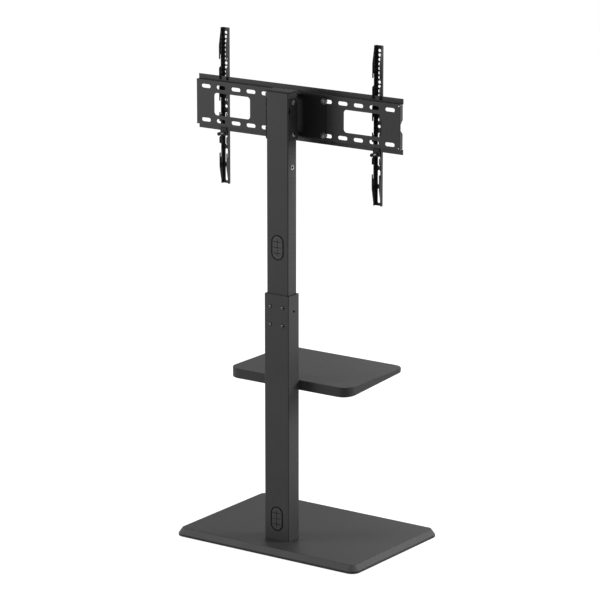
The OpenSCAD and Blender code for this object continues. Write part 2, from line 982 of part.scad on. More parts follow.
module plate_nuts() {
    color("#56585b")
        plate_bolt_places()
            translate([0, plate_back_y - plate_t, 0])
                rotate([90, 0, 0])
                    difference() {
                        hex_bar(nut_across, thin_nut_h);
                        translate([0, 0, -over])
                            cylinder(d = bolt_d, h = thin_nut_h + 2 * over);
                    }
}

// Cross-section of the wall plate in Y and Z, measured from its back face and its middle
module plate_section() {
    top = plate_h / 2;
    web = web_h / 2;
    polygon([[0, web], [-lip_step, web], [-lip_step, top], [-lip_step - plate_t, top],
        [-lip_step - plate_t, web - plate_t], [-plate_t, web - plate_t], [-plate_t, -web + plate_t],
        [-lip_step - plate_t, -web + plate_t], [-lip_step - plate_t, -top], [-lip_step, -top],
        [-lip_step, -web], [0, -web]]);
}

// Bent end of the wall plate, notched at its free edge, in the same measures
module plate_end_section() {
    web = web_h / 2 - plate_t / 2;
    polygon([[-plate_t / 2, web], [-plate_t / 2, -web], [-lip_step, -web], [-lip_step, -end_notch_h / 2],
        [-lip_step + end_notch_depth, -end_notch_floor / 2],
        [-lip_step + end_notch_depth, end_notch_floor / 2],
        [-lip_step, end_notch_h / 2], [-lip_step, web]]);
}

module wall_plate() {
    slot_reach = plate_t + 2 * over;
    slot_y = plate_back_y - plate_t - over;
    color("#3c3c3f")
        difference() {
            union() {
                translate([0, plate_back_y, plate_z])
                    bar_x(-plate_len / 2, plate_len)
                        plate_section();
                for (x = [-web_len / 2, web_len / 2 - plate_t])
                    translate([0, plate_back_y, plate_z])
                        bar_x(x, plate_t)
                            plate_end_section();
            }
            for (side = [-1, 1])
                translate([side * (web_len / 2 + end_inset), lip_y + lip_step / 2 + over / 2, plate_z])
                    cube([2 * end_inset, lip_step + over, web_h + 2 * over], center = true);
            for (i = [-slots_a_side : slots_a_side], row = [-1, 1])
                plate_y(slot_y, slot_reach)
                    translate([i * slot_pitch, slots_z + row * slot_row_gap / 2])
                        slot_flat(slot_len, slot_h);
            for (side = [-1, 1])
                plate_y(slot_y, slot_reach)
                    translate([side * (window_in + window_w / 2), slots_z])
                        round_rect(window_w, window_h, window_r);
            for (side = [-1, 1], row = [-1, 1])
                rod_y(side * (web_len / 2 - relief_in), slot_y, plate_z + row * (web_h / 2 - relief_in),
                    relief_d, slot_reach);
        }
}

// Screen arms

// Side view of an arm: depth from its front face first, height from its middle second
module arm_outline() {
    end = arm_len / 2;
    taper = end - end_tab;
    wide = taper - end_taper;
    tip = end - tip_in;
    slit = end - slit_in;
    web_top = web_h / 2 + arm_drop;
    web_low = arm_drop - web_h / 2;
    lip_top = plate_h / 2 + arm_drop + run_gap;
    shoulder = web_top + tip_in / 2 - end_tab;
    low_block = arm_drop - plate_h / 2 - lift_room;
    low_end = low_block - low_block_h;
    polygon([[0, -end], [narrow_depth, -end], [narrow_depth, -taper], [arm_d, -wide],
        [arm_d, -tip], [slit_depth, -tip], [slit_depth, -slit], [narrow_depth, -slit],
        [narrow_depth, low_end - block_slant], [arm_d, low_end], [arm_d, low_block - block_gap],
        [seat_depth, low_block], [seat_depth, web_low + lip_h - block_slant], [arm_d, web_low + lip_h],
        [arm_d, -inner_low_slit], [slit_depth, -inner_low_slit], [slit_depth, -inner_slit],
        [narrow_depth, -inner_slit], [narrow_depth, inner_slit], [slit_depth, inner_slit],
        [slit_depth, inner_tip], [arm_d, inner_tip], [arm_d, web_top - lip_h - block_slant],
        [seat_depth, web_top - lip_h], [seat_depth, lip_top], [slit_depth, lip_top],
        [slit_depth, web_top + block_slant], [arm_d, web_top + block_slant],
        [arm_d, shoulder], [narrow_depth, shoulder + block_gap], [narrow_depth, slit],
        [slit_depth, slit], [slit_depth, tip], [arm_d, tip], [arm_d, wide], [narrow_depth, taper],
        [narrow_depth, end], [0, end]]);
}

// Level of an arm's slot above the arm's middle, counted from the bottom one
function arm_slot_z(i) = arm_slot_in - arm_len / 2 + i * arm_slot_pitch;

module arm(x) {
    front_y = arm_front_y - over;
    reach = arm_t + 2 * over;
    color("#2f2f32")
        difference() {
            union() {
                translate([x - arm_w / 2, arm_front_y, arm_z - arm_len / 2])
                    cube([arm_w, arm_t, arm_len]);
                for (side = [-arm_w / 2, arm_w / 2 - arm_t])
                    translate([0, arm_front_y, arm_z])
                        bar_x(x + side, arm_t)
                            arm_outline();
            }
            for (i = [0 : hole_total - 1])
                rod_y(x, front_y, arm_z + arm_len / 2 - hole_first_in - i * hole_pitch, hole_d, reach);
            for (z = middle_holes)
                rod_y(x, front_y, arm_z + z, hole_d, reach);
            for (i = [0 : arm_slots - 1])
                let (cut = i == short_slot ? short_slot_cut : 0)
                    plate_y(front_y, reach)
                        translate([x, arm_z + arm_slot_z(i) - cut / 2])
                            rotate(90)
                                slot_flat(arm_slot_len - cut, arm_slot_w);
        }
}

module arm_left() {
    arm(arm_gap / 2);
}

module arm_right() {
    arm(-arm_gap / 2);
}

module lock_nut(x) {
    color("#8c8f92")
        translate([x, arm_front_y + arm_t + lock_nut_h, lock_z])
            rotate([90, 0, 0])
                difference() {
                    hex_bar(lock_nut_across, lock_nut_h);
                    translate([0, 0, -over])
                        cylinder(d = lock_d + 2 * pivot_gap, h = lock_nut_h + 2 * over);
                }
}

module lock_nut_left() {
    lock_nut(arm_gap / 2);
}

module lock_nut_right() {
    lock_nut(-arm_gap / 2);
}

// Clip that stands behind the bottom lip, with a nose that reaches between the arm's sides
module lock_clip(x) {
    clip_w = arm_w - 2 * (arm_t + run_gap);
    color("#242426")
        difference() {
            union() {
                translate([x - clip_w / 2, clip_y, lock_z - clip_down])
                    cube([clip_w, clip_t, clip_down + clip_up]);
                translate([x - clip_w / 2, clip_y - clip_nose, lock_z - clip_down])
                    cube([clip_w, clip_nose + clip_t / 2, clip_t / 2]);
            }
            rod_y(x, clip_y - over, lock_z, lock_d + 2 * pivot_gap, clip_t + 2 * over);
        }
}

module lock_clip_left() {
    lock_clip(arm_gap / 2);
}

module lock_clip_right() {
    lock_clip(-arm_gap / 2);
}

module lock_screw(x) {
    head_y = sleeve_y + sleeve_len;
    color("#1a1a1b")
        difference() {
            union() {
                rod_y(x, lock_tip_y, lock_z, lock_d, head_y + lock_head_h - lock_tip_y);
                rod_y(x, head_y, lock_z, lock_head_d, lock_head_h);
            }
            translate([x, head_y + lock_head_h - socket_depth, lock_z])
                rotate([-90, 0, 0])
                    hex_bar(socket_across, socket_depth + over);
        }
}

module lock_screw_left() {
    lock_screw(arm_gap / 2);
}

module lock_screw_right() {
    lock_screw(-arm_gap / 2);
}

module lock_sleeve(x) {
    color("#b9bcc0")
        translate([x, sleeve_y, lock_z])
            rotate([-90, 0, 0])
                washer(sleeve_d, lock_d, sleeve_len);
}

module lock_sleeve_left() {
    lock_sleeve(arm_gap / 2);
}

module lock_sleeve_right() {
    lock_sleeve(-arm_gap / 2);
}

base_cover();
base_core();
base_pads();
spreader_plate();
base_bolts();
column_end_plate();
lower_tube();
guide_left();
guide_right();
height_screws();
height_nuts();
lower_cable_ring();
lower_cable_flaps();
shelf_tray();
shelf_stiffener();
shelf_bolts();
shelf_inserts();
shelf_rivets();
upper_tube();
tube_glide();
top_cap();
upper_cable_ring();
upper_cable_flaps();
side_eyelet();
column_bracket();
column_bolts();
column_nuts();
swivel_bolt();
swivel_nut();
swivel_bracket();
swivel_washers();
plate_bolts();
plate_washers();
plate_nuts();
wall_plate();
arm_left();
lock_nut_left();
lock_clip_left();
lock_screw_left();
lock_sleeve_left();
arm_right();
lock_nut_right();
lock_clip_right();
lock_screw_right();
lock_sleeve_right();
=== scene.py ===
"""Looks of a floor stand for a flat screen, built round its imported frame.

Sizes are in millimetres, in the object's own frame, and become metres when a piece is made.
Up is +Z, the screen side is -Y, and the floor is at zero.
"""

import logging
import math
from collections.abc import Collection
from dataclasses import dataclass
from enum import Enum

import bmesh
import bpy
from mathutils import Matrix, Vector


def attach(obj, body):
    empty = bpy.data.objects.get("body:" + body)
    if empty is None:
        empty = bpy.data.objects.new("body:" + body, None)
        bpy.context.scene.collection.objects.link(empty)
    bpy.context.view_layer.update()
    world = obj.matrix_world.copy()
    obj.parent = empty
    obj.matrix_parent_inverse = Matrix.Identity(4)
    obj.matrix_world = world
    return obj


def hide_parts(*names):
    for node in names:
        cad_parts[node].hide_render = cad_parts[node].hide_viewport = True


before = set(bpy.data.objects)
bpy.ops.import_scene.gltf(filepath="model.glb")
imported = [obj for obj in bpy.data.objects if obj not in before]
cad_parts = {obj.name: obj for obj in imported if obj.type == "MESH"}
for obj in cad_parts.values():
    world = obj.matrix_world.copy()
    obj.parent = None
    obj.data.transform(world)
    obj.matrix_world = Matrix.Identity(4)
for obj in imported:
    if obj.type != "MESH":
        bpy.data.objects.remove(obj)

LOG = logging.getLogger("stand")
MM = 0.001
Point = tuple[float, float]

# Limits in the frame's own meshes: points that are one, faces that are flush, edges that are
# sharp, edges at a bend, and edges that run along an axis
WELD = 0.004
FLUSH = math.radians(0.6)
SHARP_EDGE = math.radians(30)
SHARP_BEND = math.radians(50)
STRAIGHT = 0.999

# A sheet's eased rim leans between these two, from upright at nought to level at one
UPRIGHT = 0.05
LEVEL = 0.98


# Names

class Body(Enum):
    """Bodies of the frame that a piece can ride on."""

    STAND = "stand"
    COLUMN = "column"
    HEAD = "head"
    LEFT_ARM = "left_arm"
    RIGHT_ARM = "right_arm"
    LEFT_CLIP = "left_clip"
    RIGHT_CLIP = "right_clip"
    LEFT_LOCK = "left_lock"
    RIGHT_LOCK = "right_lock"


class Lay(Enum):
    """How a flat shape, drawn in its own X and Y, lies in the object's frame."""

    FLAT = Matrix(((1, 0, 0, 0), (0, 1, 0, 0), (0, 0, 1, 0), (0, 0, 0, 1)))
    BACKWARD = Matrix(((1, 0, 0, 0), (0, 0, 1, 0), (0, -1, 0, 0), (0, 0, 0, 1)))
    FORWARD = Matrix(((1, 0, 0, 0), (0, 0, -1, 0), (0, 1, 0, 0), (0, 0, 0, 1)))
    LEFTWARD = Matrix(((0, 0, 1, 0), (1, 0, 0, 0), (0, 1, 0, 0), (0, 0, 0, 1)))
    RIGHTWARD = Matrix(((0, 0, -1, 0), (-1, 0, 0, 0), (0, 1, 0, 0), (0, 0, 0, 1)))
    DOWNWARD = Matrix(((1, 0, 0, 0), (0, -1, 0, 0), (0, 0, -1, 0), (0, 0, 0, 1)))

    def at(self, x: float, y: float, z: float) -> Matrix:
        """Gives the matrix that lays a shape this way with its origin at a place."""
        return Matrix.Translation((x, y, z)) @ self.value

    def each(self, xs: Collection[float], ys: Collection[float],
             zs: Collection[float]) -> list[Matrix]:
        """Gives the same for every mix of the places along X, Y and Z."""
        return [self.at(x, y, z) for x in xs for y in ys for z in zs]


# Shader nodes

class Wire:
    """A node's output socket that takes part in plain arithmetic."""

    def __init__(self, look: "Look", socket: bpy.types.NodeSocket) -> None:
        """Wraps an output socket of one of a look's nodes."""
        self.look = look
        self.socket = socket

    def __add__(self, other: "Wire | float") -> "Wire":
        """Adds, value by value."""
        return self.look.work("ADD", self, other)

    def __radd__(self, other: "Wire | float") -> "Wire":
        """Adds, with the plain number first."""
        return self.look.work("ADD", other, self)

    def __sub__(self, other: "Wire | float") -> "Wire":
        """Takes the other away."""
        return self.look.work("SUBTRACT", self, other)

    def __rsub__(self, other: "Wire | float") -> "Wire":
        """Takes this wire away from a plain number."""
        return self.look.work("SUBTRACT", other, self)

    def __mul__(self, other: "Wire | float") -> "Wire":
        """Multiplies."""
        return self.look.work("MULTIPLY", self, other)

    def __rmul__(self, other: "Wire | float") -> "Wire":
        """Multiplies, with the plain number first."""
        return self.look.work("MULTIPLY", other, self)

    def clipped(self, low: float, high: float) -> "Wire":
        """Spreads the values from low to high over nought to one, clipped at both ends."""
        return self.look.out("ShaderNodeMapRange", "Result", {"clamp": True},
                             {"Value": self, "From Min": low, "From Max": high})


class Look:
    """The nodes of one procedural material, or of the world."""

    def __init__(self, owner: "bpy.types.Material | bpy.types.World") -> None:
        """Starts with no nodes.

        Args:
            owner: The material or the world that the nodes belong to.
        """
        owner.use_nodes = True
        self.owner = owner
        self.tree = owner.node_tree
        self.tree.nodes.clear()

    def node(self, kind: str, settings: dict[str, object] | None = None,
             sockets: dict[str | int, object] | None = None) -> bpy.types.Node:
        """Adds a node of any kind.

        Args:
            kind: Blender's name for the kind of node.
            settings: The node's own settings, set before its sockets.
            sockets: Values or wires for its input sockets, by name or by number.

        Returns:
            The new node.
        """
        made = self.tree.nodes.new(kind)
        for key, value in (settings or {}).items():
            setattr(made, key, value)
        for key, value in (sockets or {}).items():
            if isinstance(value, Wire):
                self.tree.links.new(value.socket, made.inputs[key])
            else:
                made.inputs[key].default_value = value
        return made

    def out(self, kind: str, output: str | int, settings: dict[str, object] | None = None,
            sockets: dict[str | int, object] | None = None) -> Wire:
        """Adds a node and gives one of its outputs, by name or by number, as a wire."""
        return Wire(self, self.node(kind, settings, sockets).outputs[output])

    def work(self, operation: str, first: Wire | float, second: Wire | float) -> Wire:
        """Works out one operation on values, colours or vectors.

        Args:
            operation: ADD, SUBTRACT or MULTIPLY.
            first: What comes before the sign.
            second: What comes after the sign.

        Returns:
            The result as a wire.
        """
        kinds = {w.socket.type for w in (first, second) if isinstance(w, Wire)}
        if "RGBA" in kinds:
            pair = [w if isinstance(w, Wire) else (w, w, w, 1.0) for w in (first, second)]
            return self.out("ShaderNodeMix", 2, {"data_type": "RGBA", "blend_type": operation},
                            {0: 1.0, 6: pair[0], 7: pair[1]})
        if "VECTOR" in kinds:
            pair = [w if isinstance(w, Wire) else (w, w, w) for w in (first, second)]
            return self.out("ShaderNodeVectorMath", 0, {"operation": operation},
                            {0: pair[0], 1: pair[1]})
        return self.out("ShaderNodeMath", 0, {"operation": operation}, {0: first, 1: second})

    def blend(self, share: Wire | float, low: object, high: object) -> Wire:
        """Mixes two colours, wires or four numbers; a share of nought gives the first."""
        return self.out("ShaderNodeMix", 2, {"data_type": "RGBA"}, {0: share, 6: low, 7: high})

    def place(self) -> Wire:
        """Gives the point on the piece, in metres, which moves with the piece."""
        return self.out("ShaderNodeTexCoord", "Object")

    def noise(self, size: float, detail: float = 2.0, rough: float = 0.5,
              stretch: tuple[float, float, float] = (1.0, 1.0, 1.0)) -> Wire:
        """Gives noise whose lumps are about so many millimetres across.

        Args:
            size: Size of a lump.
            detail: Octaves of finer noise in it.
            rough: How strong the finer noise is.
            stretch: Scale along each direction.

        Returns:
            The noise, from about 0.3 to 0.7.
        """
        where = self.out("ShaderNodeMapping", 0, None, {"Vector": self.place(), "Scale": stretch})
        return self.out("ShaderNodeTexNoise", 0, None,
                        {"Vector": where, "Scale": 1.0 / (size * MM), "Detail": detail,
                         "Roughness": rough})

    def cells(self, size: float) -> Wire:
        """Gives the distance to the nearest of points scattered so many millimetres apart."""
        return self.out("ShaderNodeTexVoronoi", 0, None,
                        {"Vector": self.place(), "Scale": 1.0 / (size * MM)})

    def edge(self) -> Wire:
        """Gives one on rounded edges and nought elsewhere."""
        return self.out("ShaderNodeAttribute", "Fac", {"attribute_name": "edge"})

    def bump(self, height: Wire, depth: float) -> Wire:
        """Gives the normal of a surface raised by nought to one times the depth in millimetres."""
        return self.out("ShaderNodeBump", 0, None,
                        {"Strength": 1.0, "Distance": depth * MM, "Height": height})

    def close(self, sockets: dict[str, object]) -> bpy.types.Material:
        """Ends the material in one surface shader.

        Args:
            sockets: Values or wires for the shader's sockets.

        Returns:
            The finished material.
        """
        shader = self.out("ShaderNodeBsdfPrincipled", 0, None, sockets)
        self.node("ShaderNodeOutputMaterial", None, {"Surface": shader})
        return self.owner


def linear(level: float) -> float:
    """Turns a grey of 0 to 255, as a screen shows it, into linear light."""
    share = level / 255.0
    return share / 12.92 if share <= 0.04045 else ((share + 0.055) / 1.055) ** 2.4


def grey(level: float, warmth: float = 0.0) -> tuple[float, float, float, float]:
    """Gives a grey of 0 to 255 in linear light, redder and less blue by so many steps of warmth."""
    return (linear(level + warmth), linear(level), linear(level - warmth), 1.0)


# Finishes

@dataclass(frozen=True)
class Finish:
    """Surface finish of a piece, made once and shared.

    Fields:
        slot: The material slot that the finish belongs to.
        shade: Grey of the surface, from 0 to 255.
        rough: Roughness of the shader.
    """

    slot: str
    shade: float
    rough: float

    def material(self) -> bpy.types.Material:
        """Gives the finish's material.

        Returns:
            The material, made the first time and shared after that.
        """
        name = f"{type(self).__name__}_{self.slot}_{self.shade:g}"
        found = bpy.data.materials.get(name)
        return found or self.build(Look(bpy.data.materials.new(name)))

    def build(self, look: Look) -> bpy.types.Material:
        """Fills an empty material and gives it back."""
        raise NotImplementedError


@dataclass(frozen=True)
class PowderCoat(Finish):
    """Baked paint on steel: fine orange peel, tiny specks, and lighter edges, partly a thinner coat
    and partly a painted highlight.

    Fields:
        peel: Size of a lump of the peel, in millimetres.
        depth: Height of the peel, in millimetres.
        specular: Strength of the gloss.
        edge_lift: How much lighter the edges are, in steps of grey: a thinner coat there and a
            painted highlight.
    """

    peel: float = 1.1
    depth: float = 0.028
    specular: float = 0.10
    edge_lift: float = 9.0

    def build(self, look: Look) -> bpy.types.Material:
        """Fills the material with peel, specks, drifts of sheen and pale edges that carry a painted
        highlight.

        Args:
            look: The empty material.

        Returns:
            The filled material.
        """
        peel = look.noise(self.peel, 2.0, 0.55)
        fine = look.noise(self.peel * 0.32, 1.0, 0.5)
        drift = look.noise(85.0, 3.0, 0.6)
        specks = look.cells(1.6).clipped(0.30, 0.12) * look.noise(7.0, 1.0).clipped(0.48, 0.66)
        ground = look.blend(drift.clipped(0.3, 0.7), grey(self.shade - 1.5), grey(self.shade + 1.5))
        flecked = look.blend(specks * 0.22, ground, grey(self.shade + 34))
        # Rounded edges are painted lighter: a thinner coat, and a painted highlight
        edged = look.blend(look.edge() * (0.55 + drift * 0.5), flecked,
                           grey(self.shade + self.edge_lift))
        return look.close({
            "Base Color": edged,
            "Roughness": self.rough + (drift - 0.5) * 0.10 + (fine - 0.5) * 0.06,
            "Specular IOR Level": self.specular,
            "Normal": look.bump(peel * 0.75 + fine * 0.25, self.depth),
        })


@dataclass(frozen=True)
class Moulded(Finish):
    """Moulded plastic: a fine spark-eroded grain, faint flow marks, and smoother edges painted
    lighter as a painted highlight.

    Fields:
        warmth: How much warmer than grey the plastic is.
        grain: Size of the grain, in millimetres.
        depth: Height of the grain, in millimetres.
        specular: Strength of the gloss.
    """

    warmth: float = 0.0
    grain: float = 0.5
    depth: float = 0.02
    specular: float = 0.05

    def build(self, look: Look) -> bpy.types.Material:
        """Fills the material with grain, flow marks and lighter edges, a painted highlight.

        Args:
            look: The empty material.

        Returns:
            The filled material.
        """
        grain = look.noise(self.grain, 1.5, 0.6)
        flow = look.noise(24.0, 2.0, 0.5, (1.0, 1.0, 0.35))
        colour = look.blend(flow.clipped(0.3, 0.7), grey(self.shade - 2, self.warmth),
                            grey(self.shade + 2, self.warmth))
        # Rounded edges are painted lighter, a painted highlight; they are also less rough
        edged = look.blend(look.edge() * 0.6, colour, grey(self.shade + 10, self.warmth))
        return look.close({
            "Base Color": edged,
            "Roughness": self.rough + (grain - 0.5) * 0.12 - look.edge() * 0.08,
            "Specular IOR Level": self.specular,
            "Normal": look.bump(grain, self.depth),
        })


@dataclass(frozen=True)
class SoftRubber(Finish):
    """Soft black rubber or elastomer: dull, faintly pitted, with a pale bloom."""

    def build(self, look: Look) -> bpy.types.Material:
        """Fills the material with pits and bloom.

        Args:
            look: The empty material.

        Returns:
            The filled material.
        """
        pits = look.cells(0.8).clipped(0.05, 0.5)
        bloom = look.noise(11.0, 3.0, 0.6).clipped(0.45, 0.75)
        return look.close({
            "Base Color": look.blend(bloom * 0.35, grey(self.shade), grey(self.shade + 16)),
            "Roughness": self.rough + (bloom - 0.5) * 0.08,
            "Specular IOR Level": 0.35,
            "Normal": look.bump(pits, 0.03),
        })


@dataclass(frozen=True)
class PlatedSteel(Finish):
    """Steel with a plated or blackened surface: fine tool marks, stains, and bright edges from
    wear, which on the black screws are also a painted highlight.

    Fields:
        marks: Spacing of the tool marks, in millimetres.
        shine: How metallic the surface is.
        edge_shade: Grey of the edges, lighter from wear, and on the black screws also a painted
            highlight.
        specular: Strength of the gloss where the surface is not metallic.
    """

    marks: float = 0.35
    shine: float = 1.0
    edge_shade: float = 190.0
    specular: float = 0.5

    def build(self, look: Look) -> bpy.types.Material:
        """Fills the material with marks, stains and worn edges.

        Args:
            look: The empty material.

        Returns:
            The filled material.
        """
        marks = look.noise(self.marks, 2.0, 0.5, (1.0, 1.0, 5.0))
        stain = look.noise(5.0, 3.0, 0.6)
        colour = look.blend(stain.clipped(0.3, 0.7), grey(self.shade * 0.88, 1.5),
                            grey(self.shade * 1.06))
        # Edges are lighter from wear; on the black screws the light socket rims and domes are a
        # painted highlight
        wear_and_highlight = look.edge() * stain.clipped(0.40, 0.62)
        return look.close({
            "Base Color": look.blend(wear_and_highlight, colour, grey(self.edge_shade)),
            "Metallic": self.shine,
            "Specular IOR Level": self.specular,
            "Roughness": self.rough + (stain - 0.5) * 0.25 + (marks - 0.5) * 0.10 - wear_and_highlight * 0.08,
            "Normal": look.bump(marks, 0.012),
        })


@dataclass(frozen=True)
class PressedBoard(Finish):
    """Pressed fibre board: short fibres, darker knots of them, and a matt dry surface."""

    def build(self, look: Look) -> bpy.types.Material:
        """Fills the material with fibres and knots.

        Args:
            look: The empty material.

        Returns:
            The filled material.
        """
        fibres = look.noise(1.1, 4.0, 0.7, (1.0, 0.25, 1.0))
        across = look.noise(1.4, 4.0, 0.7, (0.25, 1.0, 1.0))
        knots = look.cells(6.0).clipped(0.42, 0.10) * look.noise(18.0).clipped(0.45, 0.6)
        straw = look.blend((fibres * across).clipped(0.12, 0.42), (0.10, 0.062, 0.032, 1.0),
                           (0.36, 0.25, 0.145, 1.0))
        return look.close({
            "Base Color": look.blend(knots * 0.6, straw, (0.07, 0.043, 0.024, 1.0)),
            "Roughness": self.rough + (fibres - 0.5) * 0.15,
            "Specular IOR Level": 0.25,
            "Normal": look.bump(fibres * 0.6 + across * 0.4, 0.12),
        })


class Finishes:
    """The stand's finishes, by what they cover."""

    # The base's edges and its whole bevel are painted far lighter than its top, a painted
    # reflection
    BASE = PowderCoat("base_paint", 58, 0.44, specular=0.04, edge_lift=32.0)
    COLUMN = PowderCoat("column_paint", 58, 0.46)
    SHELF = PowderCoat("shelf_paint", 60, 0.46, specular=0.04)
    # The bracket paint is much darker than the column's, partly as painted shade for the shade
    # round the column's top and on the hinge plate
    BRACKET = PowderCoat("bracket_paint", 31, 0.50, edge_lift=12.0)
    PLATE = PowderCoat("plate_paint", 57, 0.48, edge_lift=12.0)
    ARM = PowderCoat("arm_paint", 46, 0.44, edge_lift=14.0)
    LOCK = PlatedSteel("lock_black", 14, 0.40, shine=0.2, edge_shade=45.0, specular=0.08)
    # The black screws' light socket rims and domes are a painted highlight as well as wear
    SCREW = PlatedSteel("screw_black", 20, 0.34, shine=0.2, edge_shade=160.0, specular=0.2)
    BOLT = PlatedSteel("bolt_steel", 76, 0.30, edge_shade=150.0)
    STEEL = PlatedSteel("bare_steel", 198, 0.30, edge_shade=225.0)
    ZINC = PlatedSteel("bare_steel", 122, 0.40, edge_shade=140.0)
    CAP = Moulded("cap_plastic", 36, 0.55)
    GUIDE = Moulded("guide_plastic", 5, 0.50, specular=0.02)
    COVER = Moulded("cover_plastic", 12, 0.42)
    FLAP = SoftRubber("cover_soft", 34, 0.62)
    NYLON = Moulded("nylon", 212, 0.42, warmth=3.0, specular=0.4)
    PAD = SoftRubber("pad_rubber", 26, 0.70)
    BOARD = PressedBoard("board", 110, 0.85)


# Outlines

def arc_points(cx: float, cy: float, r: float, start: float, end: float, steps: int) -> list[Point]:
    """Gives points along an arc round (cx, cy), between two angles in degrees."""
    turns = [math.radians(start + (end - start) * i / steps) for i in range(steps + 1)]
    return [(cx + r * math.cos(t), cy + r * math.sin(t)) for t in turns]


def rounded(w: float, h: float, r: float, cx: float = 0.0, cy: float = 0.0,
            steps: int = 8) -> list[Point]:
    """Gives a rectangle with round corners, anticlockwise.

    Args:
        w: Width.
        h: Height.
        r: Corner radius.
        cx: Centre, across.
        cy: Centre, up.
        steps: Chords in each corner.

    Returns:
        The outline.
    """
    a, b = w / 2 - r, h / 2 - r
    corners = [(a, b, 0), (-a, b, 90), (-a, -b, 180), (a, -b, 270)]
    return [p for x, y, t in corners for p in arc_points(cx + x, cy + y, r, t, t + 90, steps)]


def oval(w: float, h: float, inset: float = 0.0, steps: int = 20) -> list[Point]:
    """Gives an upright shape with half-round ends, anticlockwise, less the inset all round."""
    r, a = w / 2 - inset, (h - w) / 2
    return arc_points(0, a, r, 0, 180, steps) + arc_points(0, -a, r, 180, 360, steps)


def filleted(points: list[Point], radii: dict[int, float], steps: int = 4) -> list[Point]:
    """Rounds corners of an open line.

    Args:
        points: The line's corners.
        radii: Radius for a corner between its ends, by its number.
        steps: Chords in each rounding.

    Returns:
        The line with those corners rounded.
    """
    made: list[Point] = []
    for i, spot in enumerate(points):
        if i not in radii:
            made.append(spot)
            continue
        here = Vector(spot)
        back, on = Vector(points[i - 1]) - here, Vector(points[i + 1]) - here
        reach = min(radii[i] / math.tan(back.angle(on) / 2), 0.48 * back.length, 0.48 * on.length)
        start, end = here + back.normalized() * reach, here + on.normalized() * reach
        for k in range(steps + 1):
            t = k / steps
            bend = start * (1 - t) ** 2 + here * 2 * t * (1 - t) + end * t * t
            made.append((bend.x, bend.y))
    return made


# Turned shapes

@dataclass(frozen=True)
class Ring:
    """One ring of a turned shape.

    Fields:
        r: Radius, or the largest radius of a ring with flats.
        z: Height along the axis.
        flats: Half the size across the flats of a hexagon, or nought for a round ring.
        thread: Depth of a thread cut into it.
        pitch: Pitch of that thread.
    """

    r: float
    z: float
    flats: float = 0.0
    thread: float = 0.0
    pitch: float = 1.0

    def radius(self, angle: float) -> float:
        """Gives the radius in one direction.

        Args:
            angle: Direction in radians.

        Returns:
            The distance from the axis.
        """
        r = self.r
        if self.flats:
            r = min(r, self.flats / math.cos((angle % (math.pi / 3)) - math.pi / 6))
        if self.thread:
            phase = (angle / math.tau + self.z / self.pitch) % 1.0
            r -= self.thread * abs(2 * phase - 1)
        return r

    def points(self, steps: int) -> list[Vector]:
        """Gives the ring's points.

        Args:
            steps: Number of points.

        Returns:
            The points, or one point if the ring has no radius.
        """
        angles = [math.tau * i / steps for i in range(steps)] if self.r else [0.0]
        return [Vector((self.radius(a) * math.cos(a), self.radius(a) * math.sin(a), self.z))
                for a in angles]


def profile(*spots: tuple[float, ...]) -> list[Ring]:
    """Gives rings from their radii and heights, and half their size across flats."""
    return [Ring(*spot) for spot in spots]


def threaded(r: float, depth: float, pitch: float, z0: float, z1: float) -> list[Ring]:
    """Gives the rings of a threaded length, with a lead-in at its far end.

    Args:
        r: Outer radius.
        depth: Depth of the thread.
        pitch: Pitch of the thread.
        z0: Where it starts.
        z1: Where it ends.

    Returns:
        The rings from start to end.
    """
    count = max(2, int(abs(z1 - z0) / pitch * 6))
    rows = [z0 + (z1 - z0) * i / count for i in range(count + 1)]
    rings = [Ring(r, z, thread=depth, pitch=pitch) for z in rows[:-2]]
    return rings + profile((r - depth, rows[-2]), (r - 1.6 * depth, rows[-1]))


class Socket(Enum):
    """What is sunk in the end of a screw's head."""

    NONE = 0
    HEX = 1


def button_head(r: float, h: float, socket: Socket, flats: float = 2.0,
                deep: float = 2.0) -> list[Ring]:
    """Gives the rings of a domed head, with the head's foot at nought.

    Args:
        r: Radius of the head.
        h: Height of the head.
        socket: What is sunk in it.
        flats: Half the socket's size across the flats.
        deep: Depth of the socket.

    Returns:
        The rings from the middle of its face to its rim.
    """
    ball = (r * r + h * h) / (2 * h)
    mouth = flats / math.cos(math.pi / 6) + 0.35 if socket is Socket.HEX else 0.0
    face = h - ball + math.sqrt(ball * ball - mouth * mouth)
    rings = profile((0, h))
    if socket is Socket.HEX:
        rings = profile((0, h - deep - 0.4), (flats * 1.2, h - deep, flats),
                        (flats * 1.2, h - 0.45, flats), (mouth, face))
    first = math.asin(mouth / ball)
    last = math.asin(min(1.0, r * 0.985 / ball))
    for i in range(1, 7):
        t = first + (last - first) * i / 6
        rings.append(Ring(ball * math.sin(t), h - ball + ball * math.cos(t)))
    return rings + profile((r, 0.35), (r * 0.985, 0.0))


# Pieces in the making

@dataclass(frozen=True)
class Bend:
    """A bend in sheet steel whose sharp edge is rounded.

    Fields:
        along: Axis that the edge runs along, 0, 1 or 2.
        radius: Radius of the rounding.
        outside: True for an outside corner, false for an inside one.
        least: Shortest edge that counts.
        front_of: Largest Y of the edge's middle.
    """

    along: int
    radius: float
    outside: bool = True
    least: float = 8.0
    front_of: float = math.inf

    def picks(self, edge: bmesh.types.BMEdge) -> bool:
        """Says whether an edge belongs to this bend.

        Args:
            edge: An edge of the mesh, in millimetres.

        Returns:
            True if the bend takes the edge.
        """
        if len(edge.link_faces) != 2 or edge.calc_length() < self.least:
            return False
        near, far = (vert.co for vert in edge.verts)
        straight = abs((far - near).normalized()[self.along]) >= STRAIGHT
        return (straight and edge.is_convex == self.outside
                and ((near + far) / 2).y <= self.front_of
                and edge.calc_face_angle(0.0) > SHARP_BEND)


